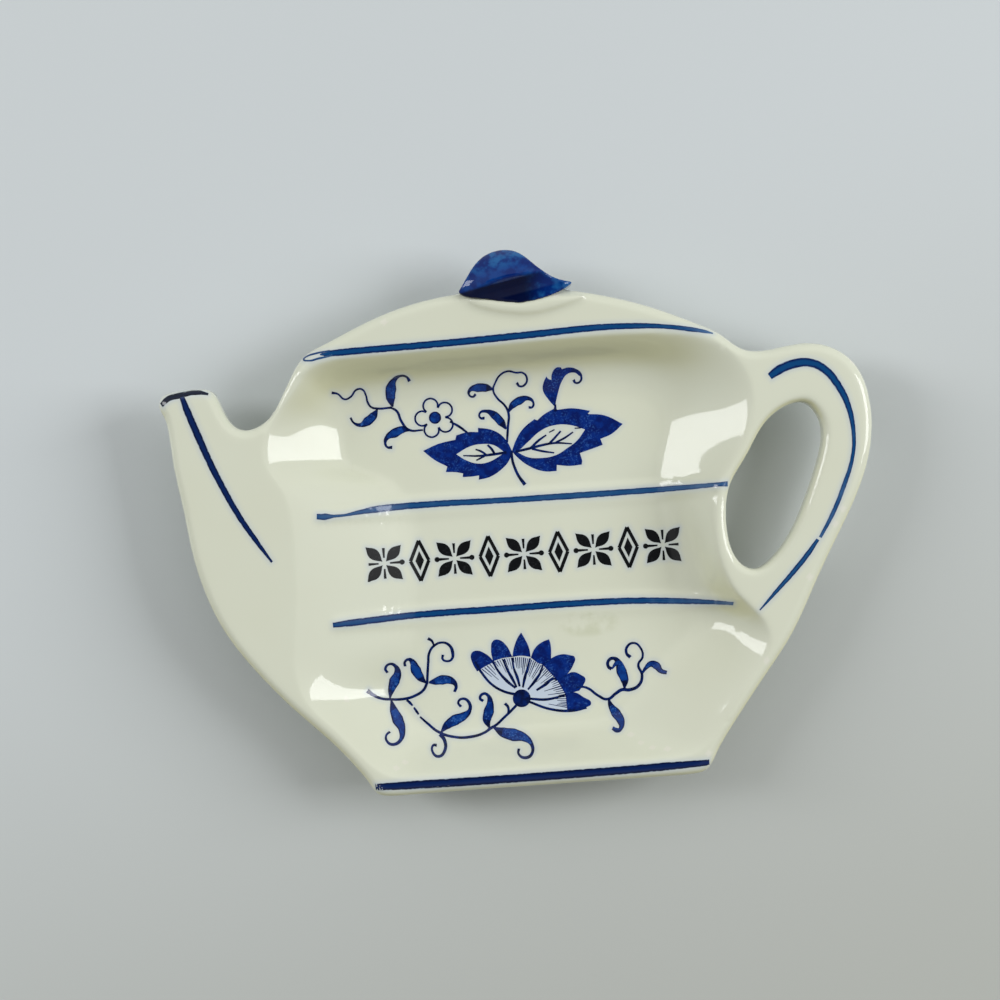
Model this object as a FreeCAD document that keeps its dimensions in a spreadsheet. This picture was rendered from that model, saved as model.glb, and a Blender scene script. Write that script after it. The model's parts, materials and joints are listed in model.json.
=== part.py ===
import FreeCAD, Part
import math
import os

import Sketcher

# Tea bag rest: a shallow glazed dish in the outline of a teapot.
# Millimetres. X runs along the painted bands towards the handle, Y towards the knob, Z up.
# The origin is on the table, at the middle of the plan outline.

V = FreeCAD.Vector
doc = FreeCAD.newDocument("TeaBagRest")

# ---------------------------------------------------------------- driving dimensions

SIZES = {
    "overall_length": 114.3,
    "rim_height": 12.0,
    "flange_thick": 4.6,
    "rim_round": 1.5,
    "loop_round": 1.1,
    "under_round": 0.8,
    "floor_height": 4.6,
    "underside_height": 1.4,
    "wall_thick": 3.0,
    "brim_lap": 0.6,
    "foot_out": 0.6,
    "foot_width": 2.6,
    "spout_seam_x": -42.6,
    "lid_seam_y": 27.9,
    "knob_top": 14.8,
    "knob_base": 7.6,
    "knob_half_length": 12.5,
    "knob_half_depth": 6.6,
    "scoop_radius": 4.2,
    "scoop_height": 16.9,
    "scoop_y": 34.8,
    "scoop_turn": 11.0,
    "collar_rise": 0.8,
    "collar_round": 0.5,
    "rib_rise": 0.35,
    "rib_width": 2.8,
    "paint_thick": 0.15,
    "band_width": 1.2,
    "stroke_width": 1.15,
    "stem_width": 0.34,
    "leaf_width": 1.5,
    "bud_radius": 0.8,
    "bud_petal_reach": 1.7,
    "bud_petal_radius": 0.95,
    "flower_radius": 1.4,
    "petal_width": 3.4,
    "border_pitch": 5.7,
    "border_y": -5.8,
    "border_petal_start": 0.5,
    "border_petal_reach": 3.1,
    "border_petal_width": 1.7,
    "lozenge_half_length": 1.3,
    "lozenge_half_height": 2.6,
    "dot_radius": 0.45,
}
DRAWN_LENGTH = 114.3

sheet = doc.addObject("Spreadsheet::Sheet", "Sizes")
for row, (name, value) in enumerate(SIZES.items(), start=1):
    sheet.set(f"A{row}", name)
    sheet.set(f"B{row}", str(value))
    sheet.setAlias(f"B{row}", name)
doc.recompute()


def size(name):
    return float(getattr(sheet, name))


SCALE = size("overall_length") / DRAWN_LENGTH

# ---------------------------------------------------------------- outlines, drawn on the plan

# The silhouette, round from the mouth of the spout over the lid, the handle and the base.
SILHOUETTE = [
    (-56.6, 20.4), (-57.1, 22.3), (-56.3, 23.5), (-53.4, 24.1), (-50.4, 24.2), (-48.5, 23.7),
    (-47.6, 22.3), (-46.7, 20.0), (-45.5, 18.1), (-43.6, 17.1), (-41.3, 17.6), (-39.2, 19.1),
    (-37.6, 21.6), (-35.9, 24.7), (-34.6, 26.9), (-32.8, 28.7), (-29.7, 30.2), (-22.5, 33.4),
    (-14.2, 35.9), (-6.0, 37.0), (2.5, 37.2), (12.2, 35.8), (22.6, 32.8), (30.0, 29.6),
    (33.6, 27.7), (35.6, 26.0), (37.7, 24.8), (41.0, 24.6), (46.2, 25.3), (50.6, 24.7),
    (54.2, 22.4), (56.4, 18.5), (57.15, 12.9), (56.4, 7.0), (54.0, 0.6), (50.6, -5.7),
    (46.5, -13.1), (42.2, -21.1), (37.5, -27.5), (32.6, -34.0), (29.2, -38.9), (28.1, -40.9),
    (26.9, -42.2), (25.0, -42.7), (20.0, -42.8), (0.0, -42.9), (-19.0, -43.1), (-24.4, -43.1),
    (-26.2, -42.5), (-27.3, -40.8), (-29.2, -38.2), (-32.6, -34.2), (-38.8, -28.0),
    (-43.9, -22.2), (-48.4, -15.9), (-51.4, -9.3), (-53.3, -2.0), (-54.3, 5.1), (-55.5, 13.2)]

HANDLE_HOLE = [(45.9, 15.9), (42.6, 15.0), (39.4, 12.3), (36.5, 7.7), (33.8, 3.6), (32.8, -0.5),
               (32.8, -4.5), (34.0, -8.6), (36.6, -10.4), (39.6, -9.0), (43.1, -4.8),
               (46.6, 2.4), (49.0, 9.6), (48.6, 13.6)]

# The well, as pairs that answer each other round it: on its brim, and at the foot of its wall.
WELL_BRIM = [(-34.4, 24.8), (-30.4, 27.2), (-22.0, 27.8), (-9.8, 28.1), (3.0, 28.4), (15.0, 28.7),
             (25.0, 28.3), (32.2, 26.6), (36.6, 22.8), (38.2, 17.4), (36.8, 11.4), (34.2, 6.6),
             (31.9, 3.0), (30.9, -3.5), (31.5, -9.0), (33.9, -14.2), (37.6, -18.6), (38.4, -22.8),
             (34.9, -28.2), (30.6, -34.4), (26.8, -38.4), (22.4, -39.7), (10.0, -39.8),
             (-9.0, -40.0), (-21.6, -40.1), (-26.0, -38.4), (-31.4, -32.6), (-36.4, -27.0),
             (-38.0, -21.2), (-37.4, -14.4), (-36.8, -5.0), (-37.0, 2.4), (-38.2, 7.2),
             (-40.4, 11.2), (-40.4, 16.6), (-38.0, 20.8)]
WELL_FOOT = [(-26.0, 16.9), (-23.6, 17.8), (-17.2, 18.2), (-7.2, 18.6), (3.2, 18.9), (12.6, 19.0),
             (18.6, 18.4), (22.0, 16.8), (23.4, 14.6), (23.6, 12.4), (22.8, 9.6), (22.2, 6.4),
             (22.0, 2.6), (22.6, -3.2), (23.0, -8.8), (23.4, -14.2), (23.4, -17.8), (21.4, -21.4),
             (17.6, -26.6), (14.2, -31.0), (12.0, -32.6), (9.6, -33.2), (4.6, -33.5), (-7.4, -33.6),
             (-15.6, -33.2), (-18.8, -31.8), (-21.8, -28.6), (-22.8, -26.0), (-18.6, -20.4),
             (-17.2, -14.0), (-16.0, -5.4), (-17.0, 2.0), (-19.6, 7.0), (-26.6, 10.2),
             (-27.6, 13.4), (-27.2, 15.6)]
# How steep the wall is at each pair: 1 under the lid, where it drops like a bowl's, and 0 on a ramp.
WELL_STEEP = [0.6, 0.8, 1.0, 1.0, 1.0, 1.0, 0.8, 0.5, 0.2, 0.0, 0.0, 0.0, 0.2, 0.7, 1.0, 1.0, 1.0,
              0.6, 0.2, 0.1, 0.1, 0.2, 0.3, 0.3, 0.3, 0.2, 0.0, 0.0, 0.0, 0.0, 0.0, 0.0, 0.0, 0.0,
              0.0, 0.3]
# How far up the wall has come, and how far out it is there where it is steep and where it is a ramp.
WALL_UP = [0.0, 0.06, 0.2, 0.5, 0.82, 1.0]
STEEP_OUT = [0.0, 0.27, 0.5, 0.72, 0.88, 1.0]
RAMP_OUT = [0.0, 0.12, 0.25, 0.52, 0.81, 1.0]
# How far out and up the middle of the belly under it has come.
BELLY_OUT = 0.45
BELLY_UP = 0.35

# The handle is everything inside this outline, whose two short sides cross the loop at its roots.
HANDLE_ZONE = [(40.9, 30.0), (41.6, 10.0), (37.6, 0.0), (37.6, -10.0), (46.4, -20.4), (62.0, -12.0),
               (62.0, 30.0)]

KNOB_BACK = [(-7.9, 36.9), (-6.4, 39.0), (-4.2, 41.8), (-1.2, 43.2), (1.9, 42.7), (4.4, 40.5),
             (7.0, 38.5), (10.6, 37.4)]
KNOB_FRONT = [(10.6, 37.4), (8.2, 35.9), (4.4, 34.8), (0.6, 34.6), (-3.6, 35.4), (-6.6, 35.9),
              (-7.9, 36.9)]
KNOB_MIDDLE = (0.6, 37.8)
COLLAR_BACK = [(12.6, 35.0), (3.0, 35.6), (-7.0, 36.2)]
COLLAR_FRONT = [(-7.0, 36.2), (-5.0, 34.5), (-0.6, 33.2), (4.0, 32.8), (8.4, 33.6), (12.6, 35.0)]

# Painted lines, by their middles.
LID_LINE = [(-33.0, 28.2), (-9.7, 28.9), (14.4, 29.7), (23.0, 29.4), (33.6, 28.1)]
SHOULDER_LINE = [(-32.9, 2.5), (-23.6, 2.9), (-3.4, 3.1), (22.3, 3.3), (32.2, 3.5)]
WAIST_LINE = [(-31.5, -15.1), (-4.5, -14.6), (17.9, -14.8), (33.1, -15.6)]
BASE_LINE = [(-26.0, -41.3), (-6.2, -41.3), (27.2, -41.0)]
SPOUT_LINE = [(-52.9, 22.4), (-50.8, 16.3), (-48.0, 9.0), (-45.1, 2.9), (-40.5, -4.1)]
LIP_LINE = [(-56.3, 22.4), (-53.6, 23.2), (-51.0, 23.2), (-49.0, 22.6)]
HANDLE_LINE = [(41.0, 20.3), (44.0, 21.8), (47.5, 21.8), (50.9, 19.8), (53.3, 14.8), (53.7, 10.0),
               (52.1, 3.4), (47.5, -5.9)]
TAIL_LINE = [(47.1, -6.5), (43.0, -10.9), (37.2, -16.7)]
# Shares of a line's full width, evenly along its length.
BAND_SHARES = [0.5, 1.0, 1.0, 1.0, 0.5]
STROKE_SHARES = [1.0, 1.1, 1.0, 0.85, 0.3]
STEM_SHARES = [0.8, 1.0, 1.0, 0.8]
LEAF_SHARES = [0.12, 0.7, 1.0, 0.7, 0.25, 0.18, 0.18]

# The upper spray: stems and curled leaves from root to tip, a small flower and two broad leaves.
UPPER_STEMS = [
    [(-29.5, 22.4), (-27.6, 21.3), (-25.3, 22.7), (-23.9, 20.6), (-22.4, 19.5), (-20.2, 19.5)],
    [(-20.2, 19.5), (-18.6, 17.1), (-17.2, 15.8), (-15.4, 15.5)],
    [(-10.4, 16.4), (-8.9, 15.5), (-7.6, 14.4)],
    [(-0.9, 11.0), (-0.6, 8.5), (0.8, 5.6)],
    [(-1.4, 12.4), (-1.1, 17.8), (-3.3, 21.0), (-1.6, 23.8), (1.4, 23.9), (2.0, 22.0), (0.7, 22.2)]]
UPPER_LEAVES = [
    [(-22.4, 19.5), (-23.6, 17.8), (-25.2, 17.0), (-26.8, 18.0)],
    [(-19.9, 19.6), (-20.0, 22.0), (-18.8, 24.2), (-16.8, 23.6)],
    [(-17.4, 15.8), (-19.4, 15.8), (-21.4, 14.6), (-20.6, 13.1)],
    [(-3.4, 21.4), (-5.2, 21.9), (-7.2, 21.8), (-6.5, 20.7)],
    [(-1.0, 17.6), (0.2, 19.2), (2.2, 19.6), (2.9, 18.2)],
    [(-1.6, 14.8), (-2.8, 16.6), (-4.6, 18.0), (-5.6, 16.9)],
    [(6.6, 17.6), (6.0, 20.6), (7.8, 23.4), (10.4, 23.4), (10.6, 21.8)]]
FLOWER_MIDDLE = (-13.2, 17.4)
BROAD_LEFT = [(-1.0, 11.2), (-2.6, 14.0), (-6.2, 15.1), (-10.2, 13.9), (-15.4, 12.0),
              (-11.6, 8.8), (-7.6, 7.2), (-4.2, 7.4)]
BROAD_LEFT_INSIDE = [(-2.4, 11.2), (-5.4, 12.5), (-9.8, 11.3), (-6.4, 9.5)]
BROAD_RIGHT = [(-0.9, 11.1), (2.0, 15.2), (6.6, 17.4), (12.2, 16.8), (17.4, 14.4),
               (13.8, 11.2), (9.0, 8.2), (3.6, 7.8)]
BROAD_RIGHT_INSIDE = [(0.4, 10.9), (4.2, 14.1), (8.6, 14.7), (11.0, 13.7), (8.2, 11.2), (3.6, 9.8)]

# The lower spray: the same kind of stems and leaves round one open flower.
LOWER_STEMS = [
    [(-26.9, -26.4), (-24.8, -27.8), (-21.0, -28.3), (-18.4, -27.4), (-17.2, -25.8)],
    [(-17.2, -25.8), (-16.6, -21.0), (-14.2, -19.5), (-12.9, -21.4), (-14.3, -22.2)],
    [(-21.0, -28.3), (-18.6, -30.8), (-15.8, -34.0), (-10.4, -35.0), (-7.2, -33.9), (-2.6, -30.4)],
    [(7.2, -28.3), (9.2, -28.6), (12.0, -30.4), (15.8, -29.2), (18.1, -26.8), (17.5, -24.8),
     (18.3, -22.8), (16.8, -21.6), (15.8, -23.2)]]
LOWER_LEAVES = [
    [(-23.4, -27.9), (-22.8, -25.6), (-22.0, -23.4), (-23.6, -22.8)],
    [(-23.2, -28.4), (-22.8, -31.0), (-21.8, -34.0), (-23.8, -34.4)],
    [(-17.6, -25.8), (-18.6, -24.2), (-19.6, -22.0), (-20.4, -22.6)],
    [(-16.9, -25.8), (-14.8, -25.2), (-12.8, -25.8), (-12.8, -27.4)],
    [(-15.4, -34.0), (-13.6, -32.4), (-10.9, -31.2), (-11.6, -29.0)],
    [(-15.5, -34.4), (-14.9, -36.2), (-16.2, -37.3), (-16.8, -35.9)],
    [(-7.3, -33.9), (-7.5, -31.8), (-6.9, -29.0), (-8.3, -28.7)],
    [(-6.5, -33.8), (-3.9, -35.5), (-1.1, -36.6), (-2.2, -38.1)],
    [(14.9, -28.9), (14.6, -26.6), (13.6, -24.3), (12.6, -25.0)],
    [(18.0, -26.6), (19.4, -25.3), (21.2, -25.9), (21.6, -27.0)],
    [(12.3, -30.4), (12.8, -32.2), (14.1, -34.4), (12.8, -35.0)]]
OPEN_FLOWER_MIDDLE = (-1.9, -29.3)
OPEN_FLOWER_TIPS = [(-9.4, -21.4), (-5.5, -19.6), (-1.4, -18.7), (3.1, -20.1), (7.1, -23.2),
                    (8.6, -26.6), (9.3, -30.9)]
PETAL_ROOT_SHARE = 0.5


def points(pairs, height=0.0):
    return [V(x * SCALE, y * SCALE, height) for x, y in pairs]


def smooth(pairs, closed=False):
    """A smooth curve through the points, timed by the length of its chords."""
    places = points(pairs)
    around = places + places[:1] if closed else places
    marks = [0.0]
    for here, there in zip(around, around[1:]):
        marks.append(marks[-1] + math.sqrt(here.distanceToPoint(there)))
    curve = Part.BSplineCurve()
    curve.interpolate(places, PeriodicFlag=closed, Parameters=marks)
    return curve


def ring(pairs, stretches=6):
    """A smooth closed outline, as stretches that run on into each other."""
    curve = smooth(pairs, closed=True)
    knots = curve.getKnots()
    ends = [knots[round(index * (len(knots) - 1) / stretches)] for index in range(stretches + 1)]
    parts = []
    for start, end in zip(ends, ends[1:]):
        part = curve.copy()
        part.segment(start, end)
        parts.append(part)
    return parts


def outward(pairs, distance):
    """The same closed outline, moved out by a distance along its own normals."""
    moved = []
    count = len(pairs)
    for index, (x, y) in enumerate(pairs):
        before, after = pairs[index - 1], pairs[(index + 1) % count]
        along = (after[0] - before[0], after[1] - before[1])
        length = math.hypot(*along)
        moved.append((x - distance * along[1] / length, y + distance * along[0] / length))
    return moved


def between(inner, outer, share):
    return [(a[0] + (b[0] - a[0]) * share, a[1] + (b[1] - a[1]) * share)
            for a, b in zip(inner, outer)]


# ---------------------------------------------------------------- document helpers

def new_body(name, label=None):
    body = doc.addObject("PartDesign::Body", name)
    if label:
        body.Label = label
    return body


def plane(body, role):
    return next(feature for feature in body.Origin.OriginFeatures if feature.Role == role)


def new_sketch(body, name, curves, height=None):
    """A sketch on the body's own XY plane, lifted to a height given as an expression."""
    sketch = body.newObject("Sketcher::SketchObject", name)
    sketch.AttachmentSupport = [(plane(body, "XY_Plane"), "")]
    sketch.MapMode = "FlatFace"
    if height:
        sketch.setExpression("AttachmentOffset.Base.z", height)
    for curve in curves:
        sketch.addGeometry(curve, False)
    if len(curves) > 1:
        for index in range(len(curves)):
            following = (index + 1) % len(curves)
            sketch.addConstraint(Sketcher.Constraint("Coincident", index, 2, following, 1))
    return sketch


def new_pad(body, name, sketch, length):
    pad = body.newObject("PartDesign::Pad", name)
    pad.Profile = sketch
    pad.setExpression("Length", length)
    return pad


def new_loft(body, name, sketches):
    loft = body.newObject("PartDesign::AdditiveLoft", name)
    loft.Profile = sketches[0]
    loft.Sections = sketches[1:]
    return loft


def edges_at(feature, height, in_loop=False):
    """Names of the edges that lie flat at a height, either round the handle's loop or not."""
    names = []
    loop = Part.Wire([curve.toShape() for curve in ring(HANDLE_HOLE)]).BoundBox
    loop.enlarge(1.0)
    for index, edge in enumerate(feature.Shape.Edges, start=1):
        box = edge.BoundBox
        flat = abs(box.ZMin - height) < 0.01 and abs(box.ZMax - height) < 0.01
        inside = loop.XMin < box.XMin and box.XMax < loop.XMax and loop.YMin < box.YMin
        if flat and inside == in_loop:
            names.append(f"Edge{index}")
    return names


def new_fillet(body, name, base, edges, radius):
    fillet = body.newObject("PartDesign::Fillet", name)
    fillet.Base = (base, edges)
    fillet.setExpression("Radius", radius)
    return fillet


def boolean(kind, name, base, tool, label=None):
    feature = doc.addObject(kind, name)
    feature.Base = base
    feature.Tool = tool
    if label:
        feature.Label = label
    return feature


def placed(feature, x, y, z):
    """Put a feature at a place whose coordinates are given as expressions."""
    for axis, value in zip("xyz", (x, y, z)):
        feature.setExpression(f"Placement.Base.{axis}", value)
    return feature


# ---------------------------------------------------------------- the clay, before it is parted

def make_flange():
    """The flat teapot outline with the open loop of its handle, rounded along its edges."""
    body = new_body("Flange")
    lowest = "Sizes.rim_height - Sizes.flange_thick"
    outline = new_sketch(body, "FlangeOutline", ring(SILHOUETTE, 8), lowest)
    pad = new_pad(body, "FlangePad", outline, "Sizes.flange_thick")
    doc.recompute()
    loop = new_sketch(body, "LoopOutline", ring(HANDLE_HOLE), lowest)
    pocket = body.newObject("PartDesign::Pocket", "LoopPocket")
    pocket.Profile = loop
    pocket.Reversed = True
    pocket.setExpression("Length", "Sizes.flange_thick")
    doc.recompute()
    if pocket.Shape.Volume > 0.98 * pad.Shape.Volume:
        raise SystemExit("the loop of the handle is not open")
    top, bottom = size("rim_height"), size("rim_height") - size("flange_thick")
    rounded = new_fillet(body, "LoopRound", pocket, edges_at(pocket, top, in_loop=True),
                         "Sizes.loop_round")
    doc.recompute()
    rounded = new_fillet(body, "RimRound", rounded, edges_at(rounded, top), "Sizes.rim_round")
    doc.recompute()
    new_fillet(body, "UnderRound", rounded, edges_at(rounded, bottom), "Sizes.under_round")
    doc.recompute()
    return body


def make_bowl_blank():
    """The belly below the flange, from the flat underside out to the thin rim."""
    body = new_body("BowlBlank")
    foot_out = outward(WELL_FOOT, size("wall_thick"))
    brim_out = outward(WELL_BRIM, size("brim_lap"))
    rise = "(Sizes.rim_height - Sizes.flange_thick - Sizes.underside_height)"
    low = new_sketch(body, "BlankLow", ring(foot_out), "Sizes.underside_height")
    middle = new_sketch(body, "BlankMiddle", ring(between(foot_out, brim_out, BELLY_OUT)),
                        f"Sizes.underside_height + {BELLY_UP} * {rise}")
    high = new_sketch(body, "BlankHigh", ring(brim_out),
                      f"Sizes.underside_height + {rise} + 0.5 * Sizes.under_round")
    new_loft(body, "BlankLoft", [low, middle, high])
    doc.recompute()
    return body


def wall_outline(steep_out, ramp_out):
    """The outline of the well at one height of its wall."""
    shares = [ramp_out + steep * (steep_out - ramp_out) for steep in WELL_STEEP]
    return [(foot[0] + share * (brim[0] - foot[0]), foot[1] + share * (brim[1] - foot[1]))
            for foot, brim, share in zip(WELL_FOOT, WELL_BRIM, shares)]


def make_well():
    """The hollow: a bowl's steep wall under the lid, and ramps at its sides."""
    body = new_body("Well")
    sections = []
    for index, (up, steep_out, ramp_out) in enumerate(zip(WALL_UP, STEEP_OUT, RAMP_OUT)):
        height = f"Sizes.floor_height + {up} * (Sizes.rim_height - Sizes.floor_height)"
        outline = ring(wall_outline(steep_out, ramp_out))
        sections.append(new_sketch(body, f"WellSection{index}", outline, height))
    new_loft(body, "WellLoft", sections)
    doc.recompute()
    return body


def make_column(name, outline, lowest="0", tall="2 * Sizes.knob_top"):
    """An upright column on a straight-sided outline, used to part the clay."""
    body = new_body(name)
    places = points(outline)
    sides = [Part.LineSegment(*ends) for ends in zip(places, places[1:] + places[:1])]
    sketch = new_sketch(body, f"{name}Outline", sides, lowest)
    new_pad(body, f"{name}Pad", sketch, tall)
    doc.recompute()
    return body


def make_box(name, low, lengths):
    box = doc.addObject("Part::Box", name)
    placed(box, *low)
    for side, length in zip(("Length", "Width", "Height"), lengths):
        box.setExpression(side, length)
    return box


def make_knob_blank():
    """The bud on the lid: a dome within its own outline, scooped out along its front.

    Gives the column of the outline too, which the collar is hollowed by.
    """
    column = new_body("KnobColumn")
    outline = new_sketch(column, "KnobOutline", [smooth(KNOB_BACK), smooth(KNOB_FRONT)],
                         "Sizes.knob_base")
    new_pad(column, "KnobPad", outline, "Sizes.knob_top - Sizes.knob_base")
    dome = doc.addObject("Part::Ellipsoid", "KnobDome")
    dome.setExpression("Radius1", "Sizes.knob_top - Sizes.knob_base")
    dome.setExpression("Radius2", "Sizes.knob_half_length")
    dome.setExpression("Radius3", "Sizes.knob_half_depth")
    placed(dome, *[str(value * SCALE) for value in KNOB_MIDDLE], "Sizes.knob_base")
    scoop = doc.addObject("Part::Cylinder", "KnobScoop")
    turned = FreeCAD.Rotation(V(0, 0, 1), size("scoop_turn"))
    scoop.Placement.Rotation = turned.multiply(FreeCAD.Rotation(V(0, 1, 0), 90))
    scoop.setExpression("Radius", "Sizes.scoop_radius")
    scoop.setExpression("Height", "4 * Sizes.knob_half_length")
    placed(scoop, "-2 * Sizes.knob_half_length * cos(Sizes.scoop_turn)",
           "Sizes.scoop_y - 2 * Sizes.knob_half_length * sin(Sizes.scoop_turn)",
           "Sizes.scoop_height")
    bud = boolean("Part::Common", "KnobBud", column, dome)
    return column, boolean("Part::Cut", "KnobBlank", bud, scoop)


def make_collar_blank():
    """The low roll of clay that the knob sits in."""
    body = new_body("CollarBlank")
    outline = new_sketch(body, "CollarOutline", [smooth(COLLAR_BACK), smooth(COLLAR_FRONT)],
                         "Sizes.knob_base")
    pad = new_pad(body, "CollarPad", outline,
                  "Sizes.rim_height + Sizes.collar_rise - Sizes.knob_base")
    doc.recompute()
    upper = edges_at(pad, size("rim_height") + size("collar_rise"))
    new_fillet(body, "CollarRound", pad, upper, "Sizes.collar_round")
    doc.recompute()
    return body


def make_foot_ring():
    """The ring that the dish stands on, set in from the edge of the belly."""
    body = new_body("FootRing", "foot_ring")
    outer = new_sketch(body, "FootOuter", ring(outward(WELL_FOOT, size("foot_out"))))
    pad = new_pad(body, "FootPad", outer, "Sizes.underside_height")
    doc.recompute()
    inner_outline = ring(outward(WELL_FOOT, size("foot_out") - size("foot_width")))
    inner = new_sketch(body, "FootInner", inner_outline)
    pocket = body.newObject("PartDesign::Pocket", "FootPocket")
    pocket.Profile = inner
    pocket.Reversed = True
    pocket.setExpression("Length", "Sizes.underside_height")
    doc.recompute()
    if pocket.Shape.Volume > 0.5 * pad.Shape.Volume:
        raise SystemExit("the foot ring is not open")
    return body


flange = make_flange()
blank = make_bowl_blank()
well = make_well()
whole = boolean("Part::Fuse", "Whole", flange, blank)
casting = boolean("Part::Cut", "Casting", whole, well)
doc.recompute()

# ---------------------------------------------------------------- the clay, parted into its zones

reach = "2 * Sizes.overall_length"
spout_side = make_box("SpoutSide", ("-Sizes.overall_length", "-Sizes.overall_length", "0"),
                      ("Sizes.overall_length + Sizes.spout_seam_x", reach, reach))
lid_side = make_box("LidSide", ("-Sizes.overall_length", "Sizes.lid_seam_y", "0"),
                    (reach, reach, reach))
handle_side = make_column("HandleSide", HANDLE_ZONE)
knob_column, knob_blank = make_knob_blank()
collar_blank = make_collar_blank()
foot_ring = make_foot_ring()

spout = boolean("Part::Common", "Spout", casting, spout_side, "spout")
lid = boolean("Part::Common", "Lid", casting, lid_side, "lid")
handle = boolean("Part::Common", "Handle", casting, handle_side, "handle")
no_spout = boolean("Part::Cut", "CastingLessSpout", casting, spout_side)
no_lid = boolean("Part::Cut", "CastingLessLid", no_spout, lid_side)
bowl = boolean("Part::Cut", "Bowl", no_lid, handle_side, "bowl")
knob = boolean("Part::Cut", "Knob", knob_blank, casting, "knob")
collar_on_lid = boolean("Part::Cut", "CollarOnLid", collar_blank, casting)
collar = boolean("Part::Cut", "Collar", collar_on_lid, knob_column, "knob_collar")
doc.recompute()
clay = [bowl, lid, knob, collar, spout, handle, foot_ring]

# ---------------------------------------------------------------- decoration, laid on the clay

def share_at(shares, place):
    """A value between the evenly spaced shares, at a place from 0 to 1 along them."""
    step = min(int(place * (len(shares) - 1)), len(shares) - 2)
    part = place * (len(shares) - 1) - step
    return shares[step] + (shares[step + 1] - shares[step]) * part


def stroke(pairs, width, shares):
    """One brush stroke: a face along a smooth middle, as wide as its shares say."""
    middle = smooth(pairs)
    first, last = middle.FirstParameter, middle.LastParameter
    stations = 2 * len(pairs) + 1
    left, right = [], []
    for index in range(stations):
        place = index / (stations - 1)
        mark = first + (last - first) * place
        along = middle.tangent(mark)[0]
        aside = V(-along.y, along.x, 0) * (0.5 * width * share_at(shares, place))
        left.append(middle.value(mark) + aside)
        right.append(middle.value(mark) - aside)
    right.reverse()
    edges = []
    for side in (left, right):
        curve = Part.BSplineCurve()
        curve.interpolate(side)
        edges.append(curve.toShape())
    edges.insert(1, Part.LineSegment(left[-1], right[0]).toShape())
    edges.append(Part.LineSegment(right[-1], left[0]).toShape())
    return Part.Face(Part.Wire(edges))


def patch(outline, inside=None):
    """A flat painted area, with a bare place left inside it."""
    face = Part.Face(Part.Wire([curve.toShape() for curve in ring(outline, 4)]))
    if inside:
        face = face.cut(Part.Face(Part.Wire([curve.toShape() for curve in ring(inside, 2)])))
    return face


def disc(middle, radius):
    circle = Part.Circle(points([middle])[0], V(0, 0, 1), radius)
    return Part.Face(Part.Wire(circle.toShape()))


def petal(root, tip, width):
    return stroke([root, between([root], [tip], 0.5)[0], tip], width, [0.2, 1.0, 0.7, 0.1])


def polar(middle, radius, degrees):
    angle = math.radians(degrees)
    return (middle[0] + radius * math.cos(angle), middle[1] + radius * math.sin(angle))


def united(faces):
    """Overlapping faces as one drawing, cut along nothing but its own outline."""
    if len(faces) == 1:
        return faces[0]
    split = faces[0].multiFuse(faces[1:])
    owners = {}
    for face in split.Faces:
        for edge in face.Edges:
            owners.setdefault(edge.hashCode(), []).append(edge)
    outline = [group[0] for group in owners.values() if len(group) == 1]
    loops = [Part.Wire(loop) for loop in Part.sortEdges(outline)]
    return Part.makeFace(loops, "Part::FaceMakerBullseye")


def make_print(name, faces, rise, over=()):
    """A thin layer on the clay under a drawing, standing up by a rise given in the sheet."""
    title = "".join(word.capitalize() for word in name.split("_"))
    drawing = doc.addObject("Part::Feature", f"{title}Drawing")
    drawing.Shape = united(faces)
    column = doc.addObject("Part::Extrusion", f"{title}Column")
    column.Base = drawing
    column.Dir = V(0, 0, 1)
    column.Solid = True
    column.setExpression("LengthFwd", "2 * Sizes.knob_top")
    lifted = doc.addObject("Part::Feature", f"{title}Lifted")
    lifted.Shape = casting.Shape.copy()
    lifted.setExpression("Placement.Base.z", rise)
    layer = boolean("Part::Common", f"{title}Layer", column, lifted)
    print_on = boolean("Part::Cut", title, layer, casting, None if over else name)
    for index, below in enumerate(over, start=1):
        last = name if index == len(over) else None
        print_on = boolean("Part::Cut", f"{title}Over{index}", print_on, below, last)
    doc.recompute()
    return print_on


def stems_and_leaves(stems, leaves):
    drawn = [stroke(stem, size("stem_width"), STEM_SHARES) for stem in stems]
    return drawn + [stroke(leaf, size("leaf_width"), LEAF_SHARES) for leaf in leaves]


def draw_upper_spray():
    faces = stems_and_leaves(UPPER_STEMS, UPPER_LEAVES)
    faces.append(disc(FLOWER_MIDDLE, size("bud_radius")))
    for turn in range(5):
        middle = polar(FLOWER_MIDDLE, size("bud_petal_reach"), 90 + 72 * turn)
        faces.append(disc(middle, size("bud_petal_radius")))
    faces.append(patch(BROAD_LEFT, BROAD_LEFT_INSIDE))
    faces.append(patch(BROAD_RIGHT, BROAD_RIGHT_INSIDE))
    return faces


def draw_lower_spray():
    faces = stems_and_leaves(LOWER_STEMS, LOWER_LEAVES)
    faces.append(disc(OPEN_FLOWER_MIDDLE, size("flower_radius")))
    for tip in OPEN_FLOWER_TIPS:
        root = between([OPEN_FLOWER_MIDDLE], [tip], PETAL_ROOT_SHARE)[0]
        faces.append(petal(root, tip, size("petal_width")))
        faces.append(stroke([OPEN_FLOWER_MIDDLE, root], size("stem_width"), [0.6, 1.0]))
    return faces


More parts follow.
